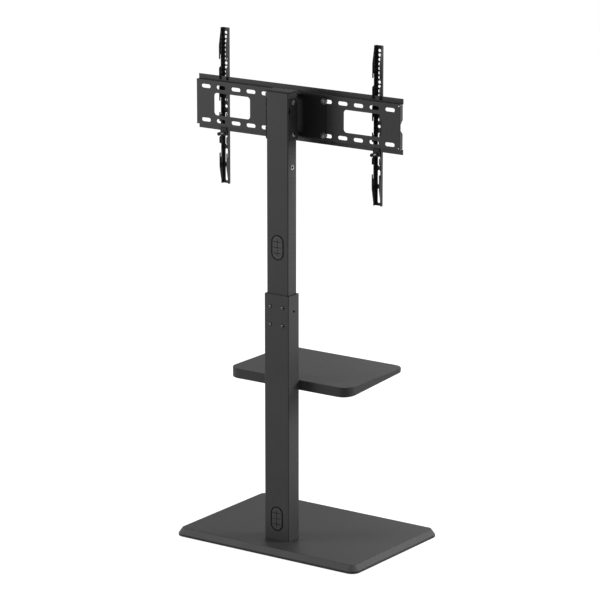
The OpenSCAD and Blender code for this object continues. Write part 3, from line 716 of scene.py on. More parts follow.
class Blank:
    """The mesh of one piece in the making, in millimetres."""

    def __init__(self) -> None:
        """Starts an empty mesh."""
        self.bm = bmesh.new()
        # Rounded edges: the finishes paint them as wear on metal and as a painted highlight on
        # paint and plastic
        self.wear_and_highlight = self.bm.faces.layers.float.new("edge")

    def loft(self, loops: list[list[Vector]], closed: bool = False,
             wear_and_highlight: Collection[int] = ()) -> "Blank":
        """Adds a skin through loops of equally many points.

        Args:
            loops: The loops in order. A loop of one point is a tip.
            closed: True joins the last loop to the first; false closes both ends with faces.
            wear_and_highlight: Numbers of the spans on rounded edges, which take the finish's edge
                colour: wear on metal, a painted highlight on paint and plastic.

        Returns:
            This blank.
        """
        rows = [[self.bm.verts.new(p) for p in loop] for loop in loops]
        pairs = list(zip(rows, rows[1:])) + ([(rows[-1], rows[0])] if closed else [])
        for number, (low, high) in enumerate(pairs):
            count = max(len(low), len(high))
            for i in range(count):
                j = (i + 1) % count
                corners = [low[i % len(low)], low[j % len(low)],
                           high[j % len(high)], high[i % len(high)]]
                face = self.bm.faces.new(list(dict.fromkeys(corners)))
                face[self.wear_and_highlight] = float(number in wear_and_highlight)
        if not closed:
            for row in (rows[0], rows[-1]):
                if len(row) > 2:
                    self.bm.faces.new(row)
        return self

    def turn(self, rings: list[Ring], *places: Matrix, steps: int = 36, closed: bool = False,
             wear_and_highlight: Collection[int] = ()) -> "Blank":
        """Adds a turned shape, once at each place.

        Args:
            rings: The rings in order.
            places: Where its axis lies.
            steps: Points round a ring, a multiple of six.
            closed: True joins the last ring to the first, as in a washer.
            wear_and_highlight: Numbers of the spans on rounded edges, which take the finish's edge
                colour: wear on metal, a painted highlight on paint and plastic.

        Returns:
            This blank.
        """
        for place in places:
            self.loft([[place @ p for p in ring.points(steps)] for ring in rings], closed, wear_and_highlight)
        return self

    def sheet(self, outline: list[Point], holes: list[list[Point]], thick: float, place: Matrix,
              ease: float) -> "Blank":
        """Adds a flat plate with holes and eased edges.

        Args:
            outline: The plate's edge, anticlockwise.
            holes: The holes, anticlockwise.
            thick: Thickness.
            place: Where it lies, with its lower face at nought.
            ease: Radius of its edges.

        Returns:
            This blank.
        """
        curve = bpy.data.curves.new("sheet", "CURVE")
        curve.dimensions = "2D"
        curve.fill_mode = "BOTH"
        curve.extrude = thick / 2 - ease
        curve.bevel_depth = ease
        curve.bevel_resolution = 2
        curve.offset = -ease
        for line in (outline, *[hole[::-1] for hole in holes]):
            spline = curve.splines.new("POLY")
            spline.points.add(len(line) - 1)
            for point, (x, y) in zip(spline.points, line):
                point.co = (x, y, 0.0, 1.0)
            spline.use_cyclic_u = True
        holder = bpy.data.objects.new("sheet", curve)
        bpy.context.scene.collection.objects.link(holder)
        mesh = bpy.data.meshes.new_from_object(
            holder.evaluated_get(bpy.context.evaluated_depsgraph_get()))
        mesh.transform(place @ Matrix.Translation((0, 0, thick / 2)))
        first = len(self.bm.faces)
        self.bm.from_mesh(mesh)
        self.bm.faces.ensure_lookup_table()
        flat = place.to_3x3() @ Vector((0, 0, 1))
        for face in self.bm.faces[first:]:
            face[self.wear_and_highlight] = float(UPRIGHT < abs(face.normal.dot(flat)) < LEVEL)
        bpy.data.objects.remove(holder)
        bpy.data.curves.remove(curve)
        bpy.data.meshes.remove(mesh)
        return self

    def copy(self, node: str, ease: float, bends: tuple[Bend, ...]) -> "Blank":
        """Adds a frame node's own form, with its bends and edges rounded.

        Args:
            node: Name of the frame node.
            ease: Radius of its edges.
            bends: Bends with a radius of their own.

        Returns:
            This blank.
        """
        raw = bmesh.new()
        raw.from_mesh(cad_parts[node].data)
        raw.transform(Matrix.Scale(1 / MM, 4))
        bmesh.ops.remove_doubles(raw, verts=raw.verts, dist=WELD)
        bmesh.ops.dissolve_limit(raw, angle_limit=FLUSH, verts=raw.verts, edges=raw.edges)
        raw.normal_update()
        wear_and_highlight = raw.faces.layers.float.new("edge")
        for bend in bends:
            picked = [e for e in raw.edges if bend.picks(e)]
            if picked:
                bmesh.ops.bevel(raw, geom=picked, offset=bend.radius, offset_type="OFFSET",
                                segments=4, profile=0.5, affect="EDGES", clamp_overlap=False)
                raw.normal_update()
        sharp = [e for e in raw.edges
                 if len(e.link_faces) == 2 and e.calc_face_angle(0.0) > SHARP_EDGE]
        eased = bmesh.ops.bevel(raw, geom=sharp, offset=ease, offset_type="OFFSET", segments=2,
                                profile=0.5, affect="EDGES", clamp_overlap=True)
        # Eased edges take the finish's edge colour, a painted highlight on paint and plastic
        for face in eased["faces"]:
            face[wear_and_highlight] = 1.0
        mesh = bpy.data.meshes.new("copy")
        raw.to_mesh(mesh)
        raw.free()
        self.bm.from_mesh(mesh)
        bpy.data.meshes.remove(mesh)
        return self

    def made(self, name: str, finish: Finish, body: Body, *nodes: str,
             smooth: float = 40.0) -> None:
        """Turns the blank into a piece that rides on a body.

        Args:
            name: Name of the piece.
            finish: Its finish.
            body: The body that it rides on.
            nodes: Frame nodes that it stands for.
            smooth: Edges sharper than this many degrees stay crisp.
        """
        bmesh.ops.recalc_face_normals(self.bm, faces=self.bm.faces)
        self.bm.transform(Matrix.Scale(MM, 4))
        mesh = bpy.data.meshes.new(name)
        self.bm.to_mesh(mesh)
        self.bm.free()
        mesh.polygons.foreach_set("use_smooth", [True] * len(mesh.polygons))
        mesh.set_sharp_from_angle(angle=math.radians(smooth))
        mesh.materials.append(finish.material())
        piece = bpy.data.objects.new(name, mesh)
        bpy.context.scene.collection.objects.link(piece)
        weight = piece.modifiers.new("weight", "WEIGHTED_NORMAL")
        weight.keep_sharp = True
        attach(piece, body.value)
        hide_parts(*nodes)
        LOG.info("%s: %d faces, on %s", name, len(mesh.polygons), body.value)


def carried(node: str, name: str, finish: Finish, body: Body, ease: float = 0.35,
            bends: tuple[Bend, ...] = ()) -> None:
    """Makes a piece in a frame node's own form, with its bends and edges rounded."""
    Blank().copy(node, ease, bends).made(name, finish, body, node)


# Fasteners

class HeadStyle(Enum):
    """Form of a screw's head."""

    BUTTON = "button"
    CYLINDER = "cylinder"
    HEX = "hex"


@dataclass(frozen=True)
class Screw:
    """A screw that stands on its head's foot, with its head above nought and its shank below.

    Fields:
        style: Form of the head.
        head_r: Radius of the head, or half its size across the flats.
        head_h: Height of the head.
        shank_r: Outer radius of the shank.
        length: Length under the head.
        plain: Length of the shank that has no thread.
        pitch: Pitch of the thread.
        socket: Half the size of its socket across the flats.
        deep: Depth of the socket.
    """

    style: HeadStyle
    head_r: float
    head_h: float
    shank_r: float
    length: float
    plain: float
    pitch: float = 1.25
    socket: float = 2.0
    deep: float = 2.0

    def head(self) -> list[Ring]:
        """Gives the rings of the head.

        Returns:
            The rings from the middle of its face to its foot.
        """
        r, h, socket = self.head_r, self.head_h, self.socket
        if self.style is HeadStyle.BUTTON:
            return button_head(r, h, Socket.HEX, socket, self.deep)
        if self.style is HeadStyle.HEX:
            corner = r / math.cos(math.pi / 6)
            return profile((0, h - 0.25), (r * 0.80, h - 0.25), (r * 0.88, h), (r * 0.96, h),
                           (corner * 0.995, h - 0.75, r), (corner, h - 1.1, r), (corner, 0.35, r),
                           (r * 0.97, 0.35), (r * 0.97, 0.0))
        across = socket * 1.2
        return profile((0, h - self.deep - 0.4), (across, h - self.deep, socket),
                       (across, h - 0.35, socket), (across + 0.3, h), (r - 0.5, h),
                       (r - 0.15, h - 0.15), (r, h - 0.5), (r, 0.3), (r - 0.2, 0.0))

    def rings(self) -> list[Ring]:
        """Gives all its rings.

        Returns:
            The rings from the middle of its head to the end of its shank.
        """
        s = self.shank_r
        thread = threaded(s, min(0.55, s * 0.12), self.pitch, -self.plain - 0.2, -self.length)
        return [*self.head(), *profile((s + 0.15, 0.0), (s, -0.2), (s, -self.plain)), *thread,
                Ring(0, -self.length)]


@dataclass(frozen=True)
class Nut:
    """A hexagon nut that stands on nought.

    Fields:
        flats: Half its size across the flats.
        height: Its height.
        bore: Radius of its thread.
        collar: Height of a locking collar on its far end.
    """

    flats: float
    height: float
    bore: float
    collar: float = 0.0

    def rings(self) -> list[Ring]:
        """Gives its rings.

        Returns:
            The rings of a closed turned shape.
        """
        f, top, bore = self.flats, self.height, self.bore
        corner, h = f / math.cos(math.pi / 6), top - self.collar
        collar = profile((f * 0.84, h), (f * 0.82, top - 0.4), (f * 0.76, top))
        return [*profile((bore + 0.7, 0.0), (f * 0.96, 0.0), (corner * 0.995, 0.55, f),
                         (corner, 0.9, f), (corner, h - 0.9, f), (corner * 0.995, h - 0.55, f),
                         (f * 0.96, h)),
                *(collar if self.collar else []),
                *profile((bore + 0.7, top), (bore, top - 0.6), (bore, 0.6))]


def washer(outer: float, inner: float, thick: float) -> list[Ring]:
    """Gives the rings of a washer that lies on nought.

    Args:
        outer: Outer radius.
        inner: Radius of its hole.
        thick: Thickness.

    Returns:
        The rings of a closed turned shape.
    """
    e = min(0.25, thick / 3)
    return profile((inner, 0.0), (outer - e, 0.0), (outer, e), (outer, thick - e),
                   (outer - e, thick), (inner + e, thick), (inner, thick - e))


# Sub-assemblies

@dataclass
class Base:
    """Weighted base: pressed cover, board, floor pads, and what holds the column's foot."""

    width: float = 600.0
    depth: float = 416.0
    middle_x: float = -7.5
    foot: float = 3.0
    top: float = 25.0
    run: float = 11.0
    rim: float = 6.5
    corner: float = 25.0
    skin: float = 1.2
    least_corner: float = 2.0
    flat_in: float = 60.0
    pad_r: float = 16.0
    pad_in: float = 48.0
    column_y: float = 108.0
    bolt_x: float = 24.0
    bolt_y: float = 13.0
    bolt_z: float = 8.0

    def ring(self, inset: float, z: float) -> list[Vector]:
        """Gives one level line of the cover.

        Args:
            inset: How far it lies in from the base's edge.
            z: Its height.

        Returns:
            The points of the line.
        """
        line = rounded(self.width - 2 * inset, self.depth - 2 * inset,
                       max(self.corner - inset, self.least_corner), self.middle_x, 0.0, 12)
        return [Vector((x, y, z)) for x, y in line]

    def cover(self) -> None:
        """Makes the pressed cover with soft bends at its rim and bevel."""
        low, high, t, flat = self.foot, self.top, self.skin, self.flat_in
        edge = low + self.rim
        outside = filleted([(t, low), (0.0, low), (0.0, edge), (self.run, high), (flat, high)],
                           {1: 1.0, 2: 1.2, 3: 1.4})
        inside = [(flat, high - t), (self.run + t / 2, high - t), (t, edge), (t, low + 0.4)]
        section = inside + outside
        # The slope of the bevel is the one tall span between rim and top; it takes the lighter edge
        # colour, a painted reflection
        tall = (self.top - edge) / 4
        slope = [n for n, (a, b) in enumerate(zip(section, section[1:]))
                 if n >= len(inside) and edge < a[1] < b[1] < high and b[1] - a[1] > tall]
        Blank().loft([self.ring(i, z) for i, z in section], wear_and_highlight=slope).made(
            "base_shell", Finishes.BASE, Body.STAND, "base_cover", smooth=50.0)

    def pads(self) -> None:
        """Makes the six rubber pads, each with a hollow and a groove in its foot."""
        r, t = self.pad_r, self.foot
        rings = profile((0, 0.7), (4.6, 0.7), (5.2, 0.0), (9.0, 0.0), (9.4, 0.45), (10.2, 0.45),
                        (10.6, 0.0), (r - 1.0, 0.0), (r - 0.3, 0.3), (r, 1.0), (r, t - 0.4),
                        (r - 0.4, t), (0, t))
        a, b = self.width / 2 - self.pad_in, self.depth / 2 - self.pad_in
        places = Lay.FLAT.each((self.middle_x - a, self.middle_x + a), (-b, 0.0, b), (0.0,))
        Blank().turn(rings, *places, wear_and_highlight=(7,)).made(
            "floor_pads", Finishes.PAD, Body.STAND, "base_pads")

    def bolts(self) -> None:
        """Makes the four bolts that come up through the board."""
        screw = Screw(HeadStyle.CYLINDER, 7.0, 4.0, 4.0, 23.0, 12.0, socket=2.5)
        places = Lay.DOWNWARD.each((-self.bolt_x, self.bolt_x),
                                   (self.column_y - self.bolt_y, self.column_y + self.bolt_y),
                                   (self.bolt_z,))
        Blank().turn(screw.rings(), *places, wear_and_highlight=(5, 6)).made(
            "foot_bolts", Finishes.STEEL, Body.STAND, "base_bolts")

    def build(self) -> None:
        """Makes every piece of the base."""
        self.cover()
        self.pads()
        self.bolts()
        carried("base_core", "base_board", Finishes.BOARD, Body.STAND, 0.6)
        carried("spreader_plate", "foot_spreader", Finishes.STEEL, Body.STAND, 0.4)


@dataclass
class CableCover:
    """Oval cover of a cable opening: a rounded rim and a soft insert cut into flaps."""

    name: str
    body: Body
    back_y: float
    z: float
    width: float = 40.0
    height: float = 70.0
    rim: float = 3.5
    proud: float = 1.4
    collar: float = 1.5
    slit: float = 1.4
    flap: float = 1.2
    flap_ease: float = 0.22
    sunk: float = 1.0

    def ring(self) -> None:
        """Makes the rim, with its collar in the tube's opening."""
        w, p, c = self.rim, self.proud, self.collar
        section = [(0.0, 0.0), (0.05, 0.55), (0.45, 1.1), (1.15, p), (w - 1.15, p), (w - 0.45, 1.1),
                   (w, 0.5), (w, -c), (w - 0.6, -c), (w - 0.6, 0.0)]
        place = Lay.BACKWARD.at(0.0, self.back_y, self.z)
        loops = [[place @ Vector((x, y, deep)) for x, y in oval(self.width, self.height, inset)]
                 for inset, deep in section]
        Blank().loft(loops, closed=True, wear_and_highlight=(1, 2, 4, 5)).made(
            f"{self.name}_cover_rim", Finishes.COVER, self.body, f"{self.name}_cable_ring",
            smooth=60.0)

    def slits(self) -> list[Point]:
        """Gives the outline of the slits, one upright and three across.

        Returns:
            The closed outline, anticlockwise.
        """
        s, reach = self.slit / 2, (self.width - 4 * self.rim) / 2
        tall = (self.height - 2 * self.rim - self.width / 2 + self.rim) / 2
        step = 2 * tall / 3
        right: list[Point] = [(s, -tall)]
        for level in (-step, 0.0, step):
            right += [(s, level - s), (reach, level - s), (reach, level + s), (s, level + s)]
        right.append((s, tall))
        return right + [(-x, y) for x, y in reversed(right)]

    def flaps(self) -> None:
        """Makes the soft insert."""
        place = Lay.BACKWARD.at(0.0, self.back_y + self.proud - self.sunk - self.flap, self.z)
        edge = oval(self.width, self.height, self.rim)
        Blank().sheet(edge, [self.slits()], self.flap, place, self.flap_ease).made(
            f"{self.name}_cover_flaps", Finishes.FLAP, self.body, f"{self.name}_cable_flaps")

    def build(self) -> None:
        """Makes the rim and the insert."""
        self.ring()
        self.flaps()


@dataclass
class LowerColumn:
    """Lower tube, its guides and end plate, and the four height screws."""

    back_y: float = 133.0
    cover_z: float = 85.0
    screw_x: float = 20.5
    screw_rows: tuple[float, float] = (631.5, 681.5)

    def build(self) -> None:
        """Makes every piece of the lower column."""
        carried("lower_tube", "lower_tube_steel", Finishes.COLUMN, Body.STAND)
        carried("column_end_plate", "foot_end_plate", Finishes.COLUMN, Body.STAND, 0.3)
        for side in ("left", "right"):
            carried(f"guide_{side}", f"guide_shell_{side}", Finishes.GUIDE, Body.STAND, 0.5)
        carried("height_nuts", "height_nut_set", Finishes.STEEL, Body.STAND, 0.2)
        screw = Screw(HeadStyle.BUTTON, 5.5, 3.3, 3.0, 4.7, 0.8, 1.0)
        places = Lay.BACKWARD.each((-self.screw_x, self.screw_x), (self.back_y,), self.screw_rows)
        # The spans round the socket and over the dome carry the screw finish's painted highlight
        Blank().turn(screw.rings(), *places, wear_and_highlight=(2, 3, 4)).made(
            "height_screw_set", Finishes.SCREW, Body.STAND, "height_screws")
        CableCover("lower", Body.STAND, self.back_y, self.cover_z).build()


@dataclass
class Shelf:
    """Pressed shelf with a tapering skirt, its stiffener and its fixings."""

    width: float = 400.0
    depth: float = 283.0
    back_y: float = 83.0
    top: float = 473.0
    back_h: float = 27.5
    front_h: float = 9.5
    corner: float = 35.0
    flat_in: float = 34.0
    skin: float = 1.5
    bolt_x: float = 25.0
    bolt_z: float = 459.25
    rivet_x: float = 100.0
    rivet_in: float = 45.0
    angle_t: float = 2.0

    def ring(self, inset: float, drop: float, hem: float | None = None) -> list[Vector]:
        """Gives one line round the tray.

        Args:
            inset: How far it lies in from the tray's edge.
            drop: How far it lies under the top, if it is level.
            hem: Height above the skirt's lower edge, for a line that follows that edge.

        Returns:
            The points of the line.
        """
        points = []
        for x, y in rounded(self.width - 2 * inset, self.depth - 2 * inset, self.corner - inset,
                            0.0, self.back_y - self.depth / 2, 14):
            share = (self.back_y - y) / self.depth
            skirt = self.back_h + (self.front_h - self.back_h) * share
            points.append(Vector((x, y, self.top - (drop if hem is None else skirt - hem))))
        return points

    def tray(self) -> None:
        """Makes the tray with a rolled top edge and a hemmed skirt."""
        t = self.skin
        roll = filleted([(0.0, 3.1), (0.0, 0.0), (8.0, 0.0)], {1: 3.0}, 5)[1:]
        section = [(self.flat_in, t), (3.2, t), (t + 0.5, t + 0.6), (t, t + 2.0), (t, 0.0, 0.35),
                   (t - 0.35, 0.0, 0.0), (0.4, 0.0, 0.0), (0.0, 0.0, 0.5), (0.0, 3.0), *roll,
                   (self.flat_in, 0.0)]
        Blank().loft([self.ring(*spot) for spot in section], wear_and_highlight=(5, 6)).made(
            "shelf_pressing", Finishes.SHELF, Body.STAND, "shelf_tray", smooth=50.0)

    def fixings(self) -> None:
        """Makes the bolts, the threaded inserts and the rivets."""
        screw = Screw(HeadStyle.BUTTON, 6.0, 4.0, 3.0, 13.5, 2.0, 1.0)
        rivet = button_head(5.0, 1.6, Socket.NONE) + profile((2.5, 0.0), (2.5, -2.0), (0, -2.0))
        xs, zs = (-self.bolt_x, self.bolt_x), (self.bolt_z,)
        inner_y = self.back_y - self.skin - self.angle_t
        Blank().turn(screw.rings(), *Lay.FORWARD.each(xs, (inner_y,), zs), wear_and_highlight=(2, 3, 9)).made(
            "shelf_bolt_pair", Finishes.SCREW, Body.STAND, "shelf_bolts")
        Blank().turn(washer(4.5, 3.0, 10.0), *Lay.BACKWARD.each(xs, (self.back_y,), zs),
                     closed=True).made(
            "shelf_insert_pair", Finishes.STEEL, Body.STAND, "shelf_inserts")
        places = Lay.DOWNWARD.each((-self.rivet_x, self.rivet_x),
                                   (self.back_y - self.skin - self.rivet_in,),
                                   (self.top - self.skin - self.angle_t,))
        Blank().turn(rivet, *places).made(
            "shelf_rivet_pair", Finishes.SHELF, Body.STAND, "shelf_rivets")

    def build(self) -> None:
        """Makes every piece of the shelf."""
        self.tray()
        carried("shelf_stiffener", "shelf_angle", Finishes.SHELF, Body.STAND, 0.3,
                (Bend(0, 2.4), Bend(0, 0.8, outside=False)))
        self.fixings()


@dataclass
class UpperColumn:
    """Upper tube with its glide, cap, side eyelet, and the bracket that holds the head."""

    column_y: float = 108.0
    half_x: float = 35.0
    back_y: float = 128.0
    top: float = 1267.0
    cap: tuple[float, float, float] = (77.0, 43.0, 3.0)
    cap_t: float = 4.0
    plug: tuple[float, float, float] = (67.0, 37.0, 1.9)
    plug_t: float = 1.5
    plug_deep: float = 10.0
    cover_z: float = 845.0
    eyelet_z: float = 1065.0
    bolt_levels: tuple[float, float] = (1240.5, 1154.5)
    pivot_y: float = 63.8
    bracket_t: float = 3.0
    bracket_top: float = 1251.0
    bracket_low: float = 1139.0
    pin_past: float = 9.0
    pin_thread: float = 16.0

    def level_line(self, shape: tuple[float, float, float], inset: float, z: float) -> list[Vector]:
        """Gives a level line round the cap or its plug.

        Args:
            shape: Width, depth and corner radius.
            inset: How far the line lies in from that shape.
            z: Its height.

        Returns:
            The points of the line.
        """
        w, d, r = shape
        line = rounded(w - 2 * inset, d - 2 * inset, max(r - inset, 0.4), 0.0, self.column_y, 6)
        return [Vector((x, y, z)) for x, y in line]

    def top_cap(self) -> None:
        """Makes the moulded cap, with its plug in the tube."""
        t, high = self.top, self.top + self.cap_t
        side = filleted([(3.0, t), (0.0, t), (0.0, high), (12.0, high)], {1: 0.5, 2: 1.5})
        w, foot = self.plug_t, t - self.plug_deep
        plug = [(0.0, t + 0.5), (0.0, foot + 0.8), (0.8, foot), (w, foot), (w, t + 0.5)]
        blank = Blank().loft([self.level_line(self.cap, i, z) for i, z in side])
        blank.loft([self.level_line(self.plug, i, z) for i, z in plug], closed=True)
        blank.made("column_cap", Finishes.CAP, Body.COLUMN, "top_cap", smooth=50.0)

    def eyelet(self) -> None:
        """Makes the bright rolled eyelet in the tube's side."""
        rings = profile((3.7, -5.0), (4.5, -5.0), (4.5, 0.0), (6.6, 0.0), (6.9, 0.25), (6.75, 0.55),
                        (6.3, 0.78), (5.4, 0.8), (4.7, 0.66), (4.0, 0.3), (3.7, -0.3))
        place = Lay.RIGHTWARD.at(-self.half_x, self.column_y, self.eyelet_z)
        Blank().turn(rings, place, steps=48, closed=True, wear_and_highlight=(4, 5, 8, 9)).made(
            "side_grommet", Finishes.ZINC, Body.COLUMN, "side_eyelet", smooth=60.0)

    def fasteners(self) -> None:
        """Makes the cross bolts, the swivel bolt and their nuts."""
        y, side = self.column_y, self.half_x + self.bracket_t
        low, high = self.bracket_low, self.bracket_top
        reach = high - low + self.pin_past
        cross = Screw(HeadStyle.BUTTON, 7.0, 4.5, 4.0, 83.5, 60.0, socket=2.5, deep=2.4)
        pin = Screw(HeadStyle.HEX, 8.5, 6.4, 5.0, reach, reach - self.pin_thread, 1.5)
        Blank().turn(cross.rings(), *Lay.RIGHTWARD.each((-side,), (y,), self.bolt_levels),
                     wear_and_highlight=(2, 3, 9)).made(
            "cross_bolt_pair", Finishes.BOLT, Body.COLUMN, "column_bolts")
        Blank().turn(Nut(6.5, 6.5, 4.0, 1.6).rings(),
                     *Lay.LEFTWARD.each((side,), (y,), self.bolt_levels),
                     closed=True, wear_and_highlight=(2, 4)).made(
            "cross_nut_pair", Finishes.BOLT, Body.COLUMN, "column_nuts")
        Blank().turn(pin.rings(), Lay.FLAT.at(0.0, self.pivot_y, high), wear_and_highlight=(3, 4, 6)).made(
            "swivel_pin", Finishes.BOLT, Body.COLUMN, "swivel_bolt")
        Blank().turn(Nut(8.5, 8.0, 5.0, 2.2).rings(), Lay.DOWNWARD.at(0.0, self.pivot_y, low),
                     closed=True, wear_and_highlight=(2, 4)).made(
            "swivel_lock_nut", Finishes.BOLT, Body.COLUMN, "swivel_nut")

    def build(self) -> None:
        """Makes every piece of the upper column."""
        carried("upper_tube", "upper_tube_steel", Finishes.COLUMN, Body.COLUMN)
        carried("tube_glide", "glide_collar", Finishes.GUIDE, Body.COLUMN, 0.5)
        self.top_cap()
        self.eyelet()
        carried("column_bracket", "bracket_yoke", Finishes.BRACKET, Body.COLUMN, 0.35,
                (Bend(2, 3.2), Bend(2, 0.9, outside=False, least=20.0)))
        self.fasteners()
        CableCover("upper", Body.COLUMN, self.back_y, self.cover_z).build()


@dataclass
class Head:
    """Swivelling head: hinge plate, washers, and the slotted wall plate bolted to it."""

    plate_y: float = 39.6
    plate_t: float = 2.0
    hinge_y: float = 42.6
    washer_t: float = 1.4
    bolt_x: float = 90.25
    bolt_rows: tuple[float, float] = (1146.7, 1239.7)
    pivot_y: float = 63.8
    bearing_levels: tuple[float, float] = (1143.3, 1245.5)

    def fasteners(self) -> None:
        """Makes the four bolts through the plates, their washers and their nuts."""
        xs, hinge, t = (-self.bolt_x, self.bolt_x), self.hinge_y, self.washer_t
        screw = Screw(HeadStyle.BUTTON, 7.0, 4.5, 4.0, 11.9, 5.0, socket=2.5, deep=2.4)
        Blank().turn(screw.rings(), *Lay.BACKWARD.each(xs, (hinge + t,), self.bolt_rows),
                     wear_and_highlight=(2, 3, 9)).made(
            "plate_bolt_set", Finishes.BOLT, Body.HEAD, "plate_bolts")
        Blank().turn(washer(9.0, 4.2, t), *Lay.BACKWARD.each(xs, (hinge,), self.bolt_rows),
                     closed=True, wear_and_highlight=(1, 3)).made(
            "plate_washer_set", Finishes.BOLT, Body.HEAD, "plate_washers")
        front = (self.plate_y - self.plate_t,)
        Blank().turn(Nut(6.5, 4.5, 4.0).rings(), *Lay.FORWARD.each(xs, front, self.bolt_rows),
                     closed=True, wear_and_highlight=(2, 4)).made(
            "plate_nut_set", Finishes.BOLT, Body.HEAD, "plate_nuts")

    def bearings(self) -> None:
        """Makes the two nylon washers of the swivel."""
        places = Lay.FLAT.each((0.0,), (self.pivot_y,), self.bearing_levels)
        Blank().turn(washer(12.0, 5.08, 1.2), *places, steps=48, closed=True).made(
            "swivel_bearings", Finishes.NYLON, Body.HEAD, "swivel_washers")

    def build(self) -> None:
        """Makes every piece of the head."""
        carried("swivel_bracket", "hinge_plate", Finishes.BRACKET, Body.HEAD)
        WallPlate().build()
        self.fasteners()
        self.bearings()


@dataclass
class WallPlate:
    """Slotted wall plate: one sheet with two windows, stepped lips and bent, notched ends."""

    back_y: float = 39.6
    middle_z: float = 1195.0
    slots_z: float = 1193.2
    long: float = 666.0
    tall: float = 150.0
    thick: float = 2.0
    step: float = 13.0
    lip: float = 13.0
    end_in: float = 1.0
    pitch: float = 50.0
    slot: tuple[float, float] = (30.0, 10.5)
    slots_a_side: int = 6
    row_gap: float = 93.0
    window: tuple[float, float, float] = (120.05, 61.5, 9.0)
    window_x: float = 212.975
    relief_r: float = 1.75
    relief_in: float = 5.0
    notch: tuple[float, float, float] = (37.0, 16.0, 10.0)
    bend: float = 2.6
    lap: float = 0.2
    ease: float = 0.28

    def web(self, blank: Blank) -> None:
        """Adds the flat of the plate between its bends, with slots, windows and relief holes.

        Args:
            blank: The piece that takes it.
        """
        half_x, half_z = self.long / 2 - self.end_in, self.tall / 2 - self.lip
        up = self.slots_z - self.middle_z
        slot = oval(self.slot[1], self.slot[0], 0.0, 10)
        w, h, r = self.window
        holes = [[(i * self.pitch + y, up + row * self.row_gap / 2 - x) for x, y in slot]
                 for i in range(-self.slots_a_side, self.slots_a_side + 1) for row in (-1, 1)]
        for side in (-1, 1):
            holes.append(rounded(w, h, r, side * self.window_x, up))
            holes += [arc_points(side * (half_x - self.relief_in), row * (half_z - self.relief_in),
                                 self.relief_r, 0, 337.5, 15) for row in (-1, 1)]
        outline = rounded(2 * (half_x - self.bend), 2 * (half_z - self.bend), 0.4, steps=2)
        blank.sheet(outline, holes, self.thick, Lay.FORWARD.at(0.0, self.back_y, self.middle_z),
                    self.ease)

    def lip_section(self) -> list[Point]:
        """Gives the section of the upper lip.

        Returns:
            The closed section, depth behind the back face first and height second.
        """
        t, s, b = self.thick, self.step, self.bend
        web, top = self.tall / 2 - self.lip, self.tall / 2
        foot = web - b - self.lap
        line = [(0.0, foot), (0.0, web), (-s, web), (-s, top), (-s - t, top), (-s - t, web - t),
                (-t, web - t), (-t, foot)]
        return filleted(line, {1: b, 2: 0.8, 3: 0.35, 4: 0.35, 5: b, 6: 0.8}, 5)

    def lips(self, blank: Blank) -> None:
        """Adds the two stepped lips, of which the front reaches past the rest.

        Args:
            blank: The piece that takes them.
        """
        reach = self.long / 2
        short = reach - self.end_in
        for row in (-1, 1):
            loops = []
            for x, ease in ((-reach, 0.25), (0.3 - reach, 0.0), (reach - 0.3, 0.0), (reach, 0.25)):
                loops.append([Vector((x if y < 0.01 - self.step else max(-short, min(short, x)),
                                      self.back_y + y + (ease if y < -self.step - 1 else 0.0),
                                      self.middle_z + row * z)) for y, z in self.lip_section()])
            blank.loft(loops, wear_and_highlight=(0, 2))

    def ends(self, blank: Blank) -> None:
        """Adds the bent ends with their notches.

        Args:
            blank: The piece that takes them.
        """
        b, t, s, outer = self.bend, self.thick, self.step, self.long / 2 - self.end_in
        web = self.tall / 2 - self.lip - b - 2 * self.lap
        wide, floor, deep = self.notch
        start = -b - self.lap / 2
        flat = [(start, web), (start, -web), (-s, -web), (-s, -wide / 2),
                (-s + deep, -floor / 2), (-s + deep, floor / 2), (-s, wide / 2), (-s, web)]
        line = filleted(flat + flat[:1], {2: 1.0, 3: 2.0, 4: 2.5, 5: 2.5, 6: 2.0, 7: 1.0})[:-1]
        edge = -b - self.lap
        fold = (filleted([(edge, 0.0), (0.0, 0.0), (0.0, edge)], {1: b}, 6)
                + filleted([(-t, edge), (-t, -t), (edge, -t)], {1: 0.7}, 6))
        for side in (-1, 1):
            place = Lay.LEFTWARD.at(outer - t if side > 0 else -outer, self.back_y, self.middle_z)
            blank.sheet(line[::-1], [], t, place, self.ease)
            blank.loft([[Vector((side * (outer + a), self.back_y + c, self.middle_z + z))
                         for a, c in fold] for z in (-web, web)])

    def build(self) -> None:
        """Makes the plate in one piece."""
        blank = Blank()
        self.web(blank)
        self.lips(blank)
        self.ends(blank)
        blank.made("slotted_plate", Finishes.PLATE, Body.HEAD, "wall_plate")


